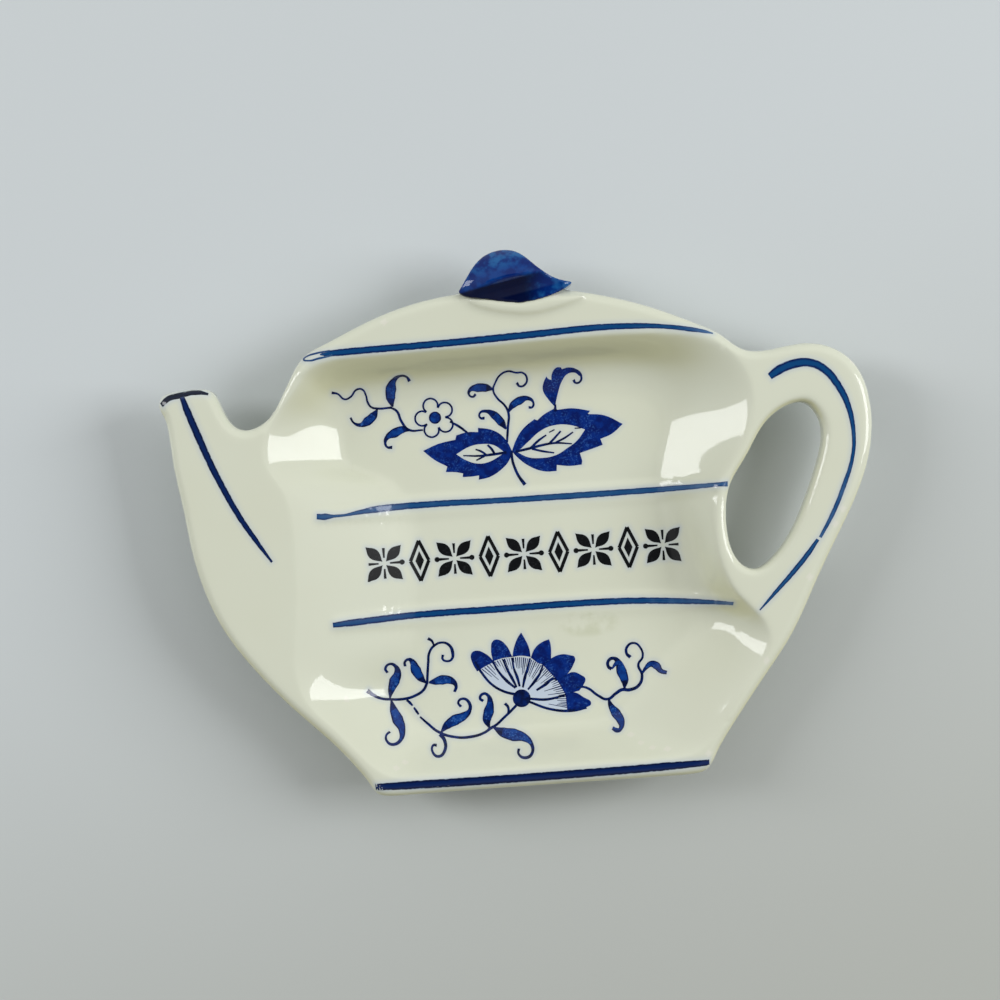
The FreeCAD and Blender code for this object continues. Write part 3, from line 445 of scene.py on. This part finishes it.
def add_spline(piece, places, widths, sharp):
    """A Bezier spline through places in millimetres."""
    spline = piece.data.splines.new("BEZIER")
    spline.bezier_points.add(len(places) - 1)
    for point, (x, y), width, corner in zip(spline.bezier_points, places, widths, sharp):
        point.co = (x * MM, y * MM, 0)
        point.radius = width
        point.handle_left_type = point.handle_right_type = "VECTOR" if corner else "AUTO"
    return spline


def to_mesh(piece):
    """Turns a flat curve into a mesh that lies above the dish and faces up."""
    only(piece)
    bpy.ops.object.convert(target="MESH")
    piece = bpy.context.object
    edit(piece, lambda: bpy.ops.transform.translate(value=(0, 0, ABOVE)))
    if sum(face.normal.z * face.area for face in piece.data.polygons) < 0:
        edit(piece, bpy.ops.mesh.flip_normals)
    return piece


def flat_brush():
    """The shape of every stroke across: a line one millimetre wide, in equal parts."""
    brush = curve_piece("brush")
    spline = brush.data.splines.new("POLY")
    spline.points.add(BRUSH_PARTS)
    for index, point in enumerate(spline.points):
        point.co = ((index / BRUSH_PARTS - 0.5) * MM, 0, 0, 1)
    return brush


def make_strokes(name, lines, steps=LINE_STEPS):
    """Ribbons along lines, whose points are (x, y, width) in millimetres."""
    brush = flat_brush()
    piece = curve_piece(name)
    piece.data.resolution_u = steps
    piece.data.fill_mode = "NONE"
    piece.data.bevel_mode = "OBJECT"
    piece.data.bevel_object = brush
    for line in lines:
        add_spline(piece, [point[:2] for point in line], [point[2] for point in line],
                   [False] * len(line))
    piece = to_mesh(piece)
    bpy.data.objects.remove(brush)
    return piece


def cut_grid():
    """Cuts the selected flat faces along a grid, so that they can bend."""
    sides = [[corner[axis] for corner in bpy.context.object.bound_box] for axis in range(2)]
    for axis, side in enumerate(sides):
        low, high = min(side), max(side)
        normal = [0, 0, 0]
        normal[axis] = 1
        for step in range(1, math.ceil((high - low) / PATCH_PITCH)):
            place = [0, 0, 0]
            place[axis] = low + step * PATCH_PITCH
            bpy.ops.mesh.select_all(action="SELECT")
            bpy.ops.mesh.bisect(plane_co=place, plane_no=normal)


def make_patches(name, outlines):
    """Filled shapes from outlines, whose corner points are marked sharp."""
    piece = curve_piece(name)
    piece.data.fill_mode = "BOTH"
    piece.data.resolution_u = PATCH_STEPS
    for outline in outlines:
        spline = add_spline(piece, [point[:2] for point in outline], [1] * len(outline),
                            [len(point) == 3 for point in outline])
        spline.use_cyclic_u = True
    piece = to_mesh(piece)
    edit(piece, merge_points, cut_grid)
    return piece


def joined(name, *pieces):
    """Several meshes as one, under a new name."""
    only(*pieces)
    bpy.ops.object.join()
    bpy.context.object.name = name
    return bpy.context.object


def polar(middle, radius, degrees):
    """The place at a distance from a middle, turned from +X towards +Y."""
    angle = math.radians(degrees)
    return (middle[0] + radius * math.cos(angle), middle[1] + radius * math.sin(angle))


def circle(middle, radius, points=8):
    return [polar(middle, radius, 360 * turn / points) for turn in range(points)]


def lay(piece, casting, lift, slot, *replaced):
    """Drops flat paint onto the glaze; it keeps the shading of the glaze under it."""
    apply_modifier(piece, "SHRINKWRAP", target=casting, wrap_method="PROJECT",
                   use_project_z=True, use_positive_direction=False,
                   use_negative_direction=True, wrap_mode="ABOVE_SURFACE", offset=lift)
    apply_modifier(piece, "SOLIDIFY", thickness=INK_DEPTH, offset=-1)
    shade_smooth(piece)
    apply_modifier(piece, "DATA_TRANSFER", object=casting, use_loop_data=True,
                   data_types_loops={"CUSTOM_NORMAL"}, loop_mapping="POLYINTERP_NEAREST")
    ride_root(piece, slot, *replaced)
    return piece


def belly(leaf):
    """The inside of a leaf's stroke, narrower by its border, where it is wide enough."""
    return [(x, y, width - LEAF_BORDER) for x, y, width in leaf if width > BELLY_FROM]


def five_petals():
    """The round outlines of the small flower's petals."""
    petals = []
    for turn in FLOWER_PETAL_TURNS:
        middle = polar(FLOWER_MIDDLE, FLOWER_PETAL_REACH, turn)
        petals.append([(*polar(middle, FLOWER_PETAL_RADIUS, turn + offset), FLOWER_PETAL_LINE)
                       for offset in FLOWER_PETAL_ARC])
    return petals


def upper_spray(casting):
    """The upper spray: its lines, its broad leaves, and the bellies of its small ones."""
    lines = UPPER_STEMS + UPPER_LEAVES + LEAF_VEINS + [FROND_CURL] + five_petals()
    ink = make_strokes("upper_ink", lines)
    leaves = make_patches("upper_broad", [LEFT_LEAF, LEFT_LEAF_BARE, RIGHT_LEAF, RIGHT_LEAF_BARE])
    leaves = joined("upper_spray_leaves", leaves, make_patches("upper_frond", [FROND]))
    eye = make_patches("upper_eye", [circle(FLOWER_MIDDLE, FLOWER_EYE_RADIUS + FLOWER_EYE_BORDER)])
    bellies = make_strokes("upper_bellies", [belly(leaf) for leaf in UPPER_LEAVES])
    wash = joined("upper_spray_wash", bellies,
                  make_patches("upper_eye_wash", [circle(FLOWER_MIDDLE, FLOWER_EYE_RADIUS)]))
    return (lay(joined("upper_spray_lines", ink, eye), casting, LINE_LIFT, "blue_print",
                "upper_spray"),
            lay(leaves, casting, LEAF_LIFT, "blue_print"),
            lay(wash, casting, WASH_LIFT, "blue_print"))


def fan_hatches():
    """Fine strokes that run in from the edge of the open flower towards its heel."""
    draw = random.Random(HATCH_SEED)
    hatches = []
    for index in range(FAN_HATCHES):
        place = (index + 0.5) / FAN_HATCHES * (len(FAN_EDGE) - 1)
        here, there = FAN_EDGE[int(place)], FAN_EDGE[int(place) + 1]
        share = place - int(place)
        start = [a + (b - a) * share for a, b in zip(here, there)]
        length = draw.uniform(*HATCH_LENGTHS)
        end = [a + (b - a) * length for a, b in zip(start, FAN_HEEL)]
        width = draw.uniform(*HATCH_WIDTHS)
        hatches.append([(*start, width), (*end, HATCH_TIP)])
    return hatches


def lower_spray(casting):
    """The lower spray: its lines, the petals of its open flower, and the bellies of its leaves."""
    lines = LOWER_STEMS + LOWER_LEAVES + FAN_RIBS + fan_hatches()
    ink = make_strokes("lower_ink", lines)
    petals = [make_patches(f"lower_petal{index}", [petal])
              for index, petal in enumerate(OPEN_PETALS)]
    disc = make_patches("lower_disc", [circle(FLOWER_DISC, FLOWER_DISC_RADIUS)])
    wash = make_strokes("lower_spray_wash", [belly(leaf) for leaf in LOWER_LEAVES])
    fan = make_patches("lower_fan_pale", [FAN_EDGE + [(*FAN_HEEL, SHARP)]])
    return (lay(joined("lower_spray_lines", ink, disc), casting, LINE_LIFT, "blue_print",
                "lower_spray"),
            lay(joined("lower_spray_petals", *petals), casting, PETAL_LIFT, "blue_print"),
            lay(wash, casting, WASH_LIFT, "blue_print"),
            lay(fan, casting, LEAF_LIFT, "blue_print"))


def border_place(index):
    """A place on the border, counted in pitches from its middle."""
    return (index * BORDER_PITCH, BORDER_Y)


def border_petal(middle, degrees):
    """One pointed petal of a border flower."""
    side = degrees + 90
    waist = polar(middle, PETAL_MIDDLE, degrees)
    return [(*polar(middle, PETAL_HEEL, degrees), SHARP), polar(waist, PETAL_HALF_WIDTH, side),
            (*polar(middle, PETAL_TIP, degrees), SHARP), polar(waist, -PETAL_HALF_WIDTH, side)]


def border_ray(middle, degrees):
    """One short stroke between two petals, wider towards its tip."""
    return [(*polar(middle, RAY_HEEL, degrees), RAY_HEEL_WIDTH),
            (*polar(middle, RAY_TIP, degrees), RAY_TIP_WIDTH)]


def lozenge(middle, reach):
    """The four corners of an upright lozenge, from its reach across and its reach up."""
    return [polar(middle, reach[turn % 2], 90 * turn) for turn in range(4)]


def centre_border(casting):
    """A plain border in black: flowers and open lozenges in turn, with dots between them."""
    solids, lines = [], []
    for middle in map(border_place, BORDER_FLOWERS):
        solids += [border_petal(middle, degrees) for degrees in PETAL_TURNS]
        lines += [border_ray(middle, degrees) for degrees in RAY_TURNS]
    for middle in map(border_place, BORDER_LOZENGES):
        corners = lozenge(middle, LOZENGE_REACH)
        lines += [[(*start, LOZENGE_LINE), (*end, LOZENGE_LINE)]
                  for start, end in zip(corners, corners[1:] + corners[:1])]
        solids.append([(*corner, SHARP) for corner in lozenge(middle, LOZENGE_HEART)])
    solids += [circle(border_place(index), DOT_RADIUS, DOT_POINTS) for index in BORDER_DOTS]
    ink = make_strokes("border_lines", lines)
    shapes = [make_patches(f"border_shape{index}", [shape]) for index, shape in enumerate(solids)]
    return lay(joined("centre_border_ink", ink, *shapes), casting, LINE_LIFT, "black_print",
               "centre_border")


def brushed_lines(casting):
    """The eight painted lines, each laid on the glaze as one node of the frame."""
    return {node: lay(make_strokes(f"{node}_brushed", strokes, BRUSH_STEPS), casting, LINE_LIFT,
                      "blue_paint", node)
            for node, (strokes, *_) in BRUSHED.items()}


def mark_bleed(casting, painted):
    """Marks how near each point of the glaze is to blue or black, for the tint around it."""
    trees = [BVHTree.FromPolygons([vertex.co for vertex in piece.data.vertices],
                                  [face.vertices for face in piece.data.polygons])
             for piece in painted]
    near = []
    for vertex in casting.data.vertices:
        gaps = [tree.find_nearest(vertex.co, BLEED_REACH)[3] for tree in trees]
        gaps = [gap for gap in gaps if gap is not None]
        near.append(1 - min(gaps) / BLEED_REACH if gaps else 0.0)
    attribute = casting.data.attributes.new("bleed", "FLOAT", "POINT")
    attribute.data.foreach_set("value", near)


# ---------------------------------------------------------------- finishes


def tint(red, green, blue):
    """A colour as it is seen on a screen, from 0 to 255, as light by the sRGB curve."""
    shares = [value / 255 for value in (red, green, blue)]
    return (*[share / 12.92 if share <= 0.04045 else ((share + 0.055) / 1.055) ** 2.4
              for share in shares], 1)


IVORY = tint(221, 225, 207)
IVORY_WARM = tint(216, 218, 196)
# Painted shade: the darker, yellower colour of steep walls that face the front.
IVORY_FRONT_SHADE = tint(210, 210, 174)
IVORY_HOLLOW = tint(200, 204, 180)
IVORY_THIN = tint(224, 224, 208)
BLEED_BLUE = tint(176, 190, 212)
STAIN = tint(192, 196, 164)
SPECK = tint(120, 112, 92)
COBALT = tint(6, 68, 122)
COBALT_DEEP = tint(3, 32, 86)
COBALT_GREY = tint(28, 78, 128)
COBALT_GREY_DEEP = tint(16, 50, 100)
NAVY = tint(5, 34, 88)
NAVY_DEEP = tint(2, 16, 56)
BLUE_BLACK = tint(4, 18, 44)
BLUE_BLACK_DEEP = tint(2, 8, 24)
COBALT_PALE = tint(96, 132, 170)
COBALT_HALO = tint(170, 188, 204)
INK = tint(2, 40, 120)
INK_DEEP = tint(1, 24, 94)
INK_PALE = tint(56, 102, 172)
LINE_INK = tint(3, 30, 92)
LINE_DEEP = tint(2, 14, 54)
WASH = tint(10, 62, 138)
WASH_DEEP = tint(3, 38, 108)
FAN_PALE = tint(196, 208, 222)
BLACK = tint(14, 16, 18)
BLACK_THIN = tint(58, 60, 64)
KNOB_BLUE = tint(2, 58, 130)
KNOB_DEEP = tint(0, 34, 104)
# Painted shade and painted highlight on the knob: almost black under its crest, pale blue on its top
# and its tip.
KNOB_POOL_SHADE = tint(0, 6, 42)
KNOB_THIN_SHEEN = tint(52, 130, 182)
CLAY_BARE = tint(214, 204, 184)
CLAY_DUSTY = tint(190, 178, 156)
FLOOR = tint(206, 212, 213)
# Painted shade: the floor's darker, warmer tone towards the front and the right.
FLOOR_FRONT_SHADE = tint(181, 184, 177)
DAYLIGHT = (0.98, 0.99, 1.01)
ROOM_LIGHT = (1.0, 1.0, 0.99, 1)

GLOSS = {"Roughness": 0.32, "Specular IOR Level": 0.1, "Coat Weight": 1.0, "Coat Roughness": 0.05,
         "Coat IOR": 1.42}

# How strongly each mark shows in the glaze, and the size and spread of its specks.
STAIN_STRENGTH = 0.45
SPECK_STRENGTH = 0.8
SPECK_PITCH = 14 * MM
SPECK_RADIUS = 0.35 * MM
SPECK_SHARE = 0.5
# How strongly the knob's painted shade and painted highlight show.
KNOB_POOL_SHADE_STRENGTH = 0.95
KNOB_THIN_SHEEN_STRENGTH = 0.38

# How much paint the brush carries along a line, from its start at 0 to its end at 1.
FULL = [(0.0, 0.75), (0.04, 1.0), (0.9, 0.95), (1.0, 0.8)]
FADING = [(0.0, 0.9), (0.1, 1.0), (0.6, 0.8), (1.0, 0.55)]
BRUSHED = {
    "lid_band": ([LID_LINE, LID_HIGHLIGHT_LOOP], COBALT, COBALT_DEEP, FADING),
    "shoulder_band": ([SHOULDER_LINE], COBALT_GREY, COBALT_GREY_DEEP, FADING),
    "waist_band": ([WAIST_LINE], COBALT, COBALT_DEEP, FADING),
    "base_band": ([BASE_LINE], NAVY, NAVY_DEEP, FULL),
    "spout_line": ([SPOUT_LINE], NAVY, NAVY_DEEP, FULL),
    "spout_lip_line": ([LIP_LINE], BLUE_BLACK, BLUE_BLACK_DEEP, FULL),
    "handle_line": ([HANDLE_LINE], COBALT, COBALT_DEEP, FADING),
    "handle_tail_line": ([TAIL_LINE], COBALT_GREY, COBALT_DEEP, FULL)}


class Wire:
    """A socket in a mixing of nodes; arithmetic on it adds Math nodes."""

    def __init__(self, mixing, socket):
        self.mixing = mixing
        self.socket = socket

    def math(self, operation, first, second):
        return self.mixing.node("Math", {"operation": operation}, {0: first, 1: second})

    def __add__(self, other):
        return self.math("ADD", self, other)

    def __mul__(self, other):
        return self.math("MULTIPLY", self, other)

    def __sub__(self, other):
        return self.math("SUBTRACT", self, other)

    def __rsub__(self, other):
        return self.math("SUBTRACT", other, self)

    def __abs__(self):
        return self.math("ABSOLUTE", self, 0.0)

    __radd__ = __add__
    __rmul__ = __mul__


class Mixing:
    """The nodes of a finish or of the room, joined one by one."""

    def __init__(self, tree):
        self.tree = tree

    def node(self, kind, settings=None, sockets=None, output=0):
        """Adds a node, sets it, and gives one of its outputs."""
        node = self.tree.nodes.new("ShaderNode" + kind)
        for setting, value in (settings or {}).items():
            if setting == "stops":
                self.set_stops(node.color_ramp, value)
            else:
                setattr(node, setting, value)
        for socket, value in (sockets or {}).items():
            if isinstance(value, Wire):
                self.tree.links.new(value.socket, node.inputs[socket])
            else:
                node.inputs[socket].default_value = value
        return Wire(self, node.outputs[output])

    def set_stops(self, ramp, stops):
        while len(ramp.elements) < len(stops):
            ramp.elements.new(0.5)
        for element, (place, level) in zip(ramp.elements, stops):
            element.position = place
            element.color = (level, level, level, 1)

    def parts(self, vector):
        """The three parts of a vector, by their letters."""
        split = self.node("SeparateXYZ", None, {0: vector}).socket.node
        return {letter: Wire(self, split.outputs[letter]) for letter in "XYZ"}

    def between(self, wire, low, high):
        """0 below low, 1 above high, and smooth between them."""
        return self.node("MapRange", {"interpolation_type": "SMOOTHSTEP"},
                         {"Value": wire, "From Min": low, "From Max": high})

    def mix(self, share, one, other):
        return self.node("Mix", {"data_type": "RGBA"}, {0: share, 6: one, 7: other}, output=2)


class Finish(Mixing):
    """A material and the shader that its nodes feed."""

    def __init__(self, name, constants):
        self.material = bpy.data.materials.new(name)
        self.material.use_nodes = True
        super().__init__(self.material.node_tree)
        self.shader = self.tree.nodes["Principled BSDF"]
        for socket, value in constants.items():
            self.shader.inputs[socket].default_value = value
        self.place = self.node("TexCoord", output="Object")

    def feed(self, socket, wire):
        self.tree.links.new(wire.socket, self.shader.inputs[socket])

    def noise(self, size, detail=2.0, place=None):
        """Soft noise from 0 to 1, whose blots are about a size across."""
        return self.node("TexNoise", None, {"Vector": place or self.place, "Scale": 1 / size,
                                            "Detail": detail})

    def bump(self, height, distance, strength=1.0):
        self.feed("Normal", self.node("Bump", None, {"Height": height, "Distance": distance,
                                                     "Strength": strength}))

    def put_on(self, *pieces):
        for piece in pieces:
            piece.data.materials.clear()
            piece.data.materials.append(self.material)


def glaze_ripple(finish):
    """The slight unevenness of a dipped glaze."""
    finish.bump(finish.noise(5 * MM, detail=1.0), distance=0.03 * MM, strength=0.5)


def specks(glaze):
    """Round dots in a share of the cells, each at a random place: 1 inside a dot."""
    cells = {"Vector": glaze.place, "Scale": 1 / SPECK_PITCH}
    far = glaze.node("TexVoronoi", None, cells)
    pick = glaze.node("TexVoronoi", None, cells, output="Color")
    chosen = glaze.between(pick, 1 - SPECK_SHARE, 1 - SPECK_SHARE + 0.01)
    edge = SPECK_RADIUS / SPECK_PITCH
    return (1 - glaze.between(far, 0.6 * edge, edge)) * chosen


def tea_stain(glaze):
    """The faint, patchy mark that tea has left below the waist line."""
    parts = glaze.parts(glaze.place)
    along = (parts["X"] - STAIN_MIDDLE[0]) * (1 / STAIN_HALF_LENGTH)
    across = (parts["Y"] - STAIN_MIDDLE[1]) * (1 / STAIN_HALF_WIDTH)
    inside = 1 - glaze.between(along * along + across * across, 0.3, 1.1)
    patches = glaze.between(glaze.noise(2.6 * MM, detail=3.0), 0.36, 0.64)
    return inside * patches


def ivory_glaze():
    """Clear glaze over ivory clay: darker in concave places, thin on edges, tinted near the print,
    with painted shade on steep walls that face the front.
    """
    glaze = Finish("ivory_glaze", GLOSS)
    facing = glaze.parts(glaze.node("NewGeometry", output="Normal"))
    steep = 1 - glaze.between(facing["Z"], 0.62, 0.97)
    to_front = glaze.between(-1 * facing["Y"], 0.05, 0.6)
    bend = glaze.node("NewGeometry", output="Pointiness")
    hollow = 1 - glaze.between(bend, 0.42, 0.5)
    thin = glaze.between(bend, 0.52, 0.62)
    near_print = glaze.node("Attribute", {"attribute_name": "bleed"}, output="Fac")
    bleed = near_print * near_print * (0.2 + 0.5 * glaze.noise(3 * MM))

    body = glaze.mix(glaze.noise(22 * MM), IVORY, IVORY_WARM)
    # Painted shade: steep walls that face the front, away from the light, are darkened.
    body = glaze.mix(steep * to_front, body, IVORY_FRONT_SHADE)
    body = glaze.mix(hollow, body, IVORY_HOLLOW)
    body = glaze.mix(thin, body, IVORY_THIN)
    body = glaze.mix(bleed, body, BLEED_BLUE)
    body = glaze.mix(STAIN_STRENGTH * tea_stain(glaze), body, STAIN)
    body = glaze.mix(SPECK_STRENGTH * specks(glaze), body, SPECK)
    glaze.feed("Base Color", body)
    glaze_ripple(glaze)
    return glaze


def brushed_blue(name, core, edge, load):
    """Brushed cobalt: streaked and clouded along the stroke, with ragged edges where it pools."""
    paint = Finish(name, GLOSS)
    stroke = paint.node("UVMap")
    parts = paint.parts(stroke)
    ragged = paint.noise(0.8 * MM, detail=3.0)
    side = abs(parts["Y"] - 0.5) + 0.3 * (ragged - 0.5)
    along = paint.node("Mapping", None, {"Vector": stroke, "Scale": (9, 5, 1)})
    streaks = paint.noise(1, detail=3.0, place=along)
    fill = paint.node("ValToRGB", {"stops": load}, {"Fac": parts["X"]})
    clouds = paint.noise(2.5 * MM, detail=4.0)
    load_here = fill * (0.7 + 0.5 * streaks) + 0.5 * (clouds - 0.5)
    body = paint.mix(paint.between(side, 0.16, 0.36), core, edge)
    body = paint.mix(paint.between(load_here, 0.05, 0.8), COBALT_PALE, body)
    paint.feed("Base Color", paint.mix(paint.between(side, 0.42, 0.54), body, COBALT_HALO))
    glaze_ripple(paint)
    return paint


def printed(name, deep, body, pale, grain):
    """Printed ink: mottled, with fine flecks where it took thinly."""
    ink = Finish(name, GLOSS)
    mottling = ink.between(ink.noise(1.2 * MM, detail=3.0), 0.38, 0.62)
    flecks = ink.between(ink.noise(0.3 * MM), 0.52, 0.66)
    thin_here = ink.between(ink.noise(2.6 * MM), 0.38, 0.62)
    tone = ink.mix(mottling, deep, body)
    ink.feed("Base Color", ink.mix(grain * flecks * thin_here, tone, pale))
    glaze_ripple(ink)
    return ink


def cobalt_glaze():
    """Thick cobalt glaze on the knob: darkened in front of its crease with painted shade, where the
    glaze also pools, and paler on its top and its tip with painted highlight, where the glaze also
    runs thin.
    """
    glaze = Finish("cobalt_glaze", {**GLOSS, "Specular IOR Level": 0.0})
    parts = glaze.parts(glaze.place)
    from_crease = parts["Y"] - CREASE_SLOPE * parts["X"] - CREASE_Y
    behind = glaze.between(from_crease, -0.4 * MM, 0.1 * MM)
    high = behind * glaze.between(from_crease, 1.2 * MM, 3.6 * MM)
    tail = glaze.between(parts["X"], 2.5 * MM, 6.5 * MM)
    cloud = glaze.noise(1.8 * MM, detail=3.0)
    # Painted shade under the overhanging crest; the glaze pools there too.
    pool_shade = (1 - behind) * (1 - tail)
    # Painted highlight on the top behind the crease and on the tip, where the glaze also runs thin.
    thin = (high + 0.7 * tail) * glaze.between(cloud, 0.44, 0.66)

    body = glaze.mix(glaze.between(cloud, 0.38, 0.62), KNOB_DEEP, KNOB_BLUE)
    body = glaze.mix(KNOB_POOL_SHADE_STRENGTH * pool_shade, body, KNOB_POOL_SHADE)
    glaze.feed("Base Color", glaze.mix(KNOB_THIN_SHEEN_STRENGTH * thin, body, KNOB_THIN_SHEEN))
    glaze_ripple(glaze)
    return glaze


def bare_clay():
    """Matt fired clay, wiped free of glaze, with a fine tooth."""
    clay = Finish("bare_clay", {"Roughness": 0.85})
    clay.feed("Base Color", clay.mix(clay.noise(2 * MM, detail=5.0), CLAY_BARE, CLAY_DUSTY))
    clay.bump(clay.noise(0.3 * MM, detail=4.0), distance=0.04 * MM)
    return clay


def plain_floor():
    """A matt floor, darker towards the front and the right: painted shade for the light falling off
    away from the windows.
    """
    floor = Finish("plain_floor", {"Roughness": 0.9})
    parts = floor.parts(floor.place)
    painted_falloff = floor.between(0.3 * parts["X"] - parts["Y"], -0.06, 0.12)
    floor.feed("Base Color", floor.mix(painted_falloff, FLOOR, FLOOR_FRONT_SHADE))
    return floor


# ---------------------------------------------------------------- stage


def make_floor():
    bpy.ops.object.select_all(action="DESELECT")
    bpy.ops.mesh.primitive_plane_add(size=FLOOR_SIZE, location=(0, 0, -FLOOR_DROP))
    floor = bpy.context.object
    floor.name = "floor"
    plain_floor().put_on(floor)


def make_window(name, azimuth, elevation, width, height):
    """A soft rectangular light that faces the dish; azimuth is from +X towards +Y."""
    turn, rise = math.radians(azimuth), math.radians(elevation)
    away = Vector((math.cos(turn) * math.cos(rise), math.sin(turn) * math.cos(rise),
                   math.sin(rise)))
    bpy.ops.object.light_add(type="AREA", location=away * WINDOW_DISTANCE)
    window = bpy.context.object
    window.name = name
    window.rotation_euler = away.to_track_quat("Z", "Y").to_euler()
    window.data.shape = "RECTANGLE"
    window.data.size = width
    window.data.size_y = height
    window.data.energy = WINDOW_RADIANCE * math.pi * width * height
    window.data.color = DAYLIGHT


def light_room():
    """Pale walls all round, paler high up and behind the dish, under a dark ceiling."""
    world = bpy.data.worlds.new("room")
    world.use_nodes = True
    room = Mixing(world.node_tree)
    way = room.parts(room.node("TexCoord"))
    high = room.between(way["Z"], 0.55, 0.75)
    ceiling = room.between(way["Z"], 0.92, 0.975)
    behind = room.between(way["Y"], -0.55, 0.35)
    walls = 0.45 + 0.18 * high - 0.56 * ceiling
    strength = walls * (0.42 + 0.58 * behind)
    background = world.node_tree.nodes["Background"]
    background.inputs["Color"].default_value = ROOM_LIGHT
    world.node_tree.links.new(strength.socket, background.inputs["Strength"])
    bpy.context.scene.world = world
    bpy.context.scene.view_settings.view_transform = "Standard"


def light_scene():
    """Daylight through two windows, one on each side, in a plain room."""
    make_window("window_left", azimuth=161, elevation=34, width=0.26, height=0.52)
    make_window("window_right", azimuth=6, elevation=33, width=0.42, height=0.50)
    light_room()


def make_camera():
    """Straight above the dish, turned a little, as the photograph is taken."""
    bpy.ops.object.camera_add(location=(*VIEW_MIDDLE, RIM + VIEW_RISE),
                              rotation=(0, 0, VIEW_ROLL))
    camera = bpy.context.object
    camera.data.sensor_width = SENSOR
    camera.data.lens = SENSOR * VIEW_RISE / VIEW_WIDTH
    camera.data.clip_start = VIEW_CLIP
    bpy.context.scene.camera = camera


# ---------------------------------------------------------------- the dish

make_camera()
light_scene()
make_floor()

casting = make_casting()
knob = make_knob()
lines = brushed_lines(casting)
upper_lines, broad_leaves, upper_wash = upper_spray(casting)
lower_lines, petals, lower_wash, fan = lower_spray(casting)
border = centre_border(casting)
mark_bleed(casting, [*lines.values(), upper_lines, broad_leaves, lower_lines, petals, border])

ivory_glaze().put_on(casting)
cobalt_glaze().put_on(knob)
bare_clay().put_on(frame["nodes"]["foot_ring"])
for node, (_, core, edge, load) in BRUSHED.items():
    brushed_blue(f"{node}_paint", core, edge, load).put_on(lines[node])
printed("blue_lines", LINE_DEEP, LINE_INK, INK_PALE, 0.1).put_on(upper_lines, lower_lines)
printed("blue_leaves", INK_DEEP, INK, INK_PALE, 0.4).put_on(broad_leaves, petals)
printed("blue_wash", WASH_DEEP, WASH, INK_PALE, 0.7).put_on(upper_wash, lower_wash)
printed("fan_wash", FAN_PALE, FAN_PALE, IVORY, 0.2).put_on(fan)
printed("black_print", BLACK, BLACK, BLACK_THIN, 0.3).put_on(border)

bpy.context.view_layer.update()
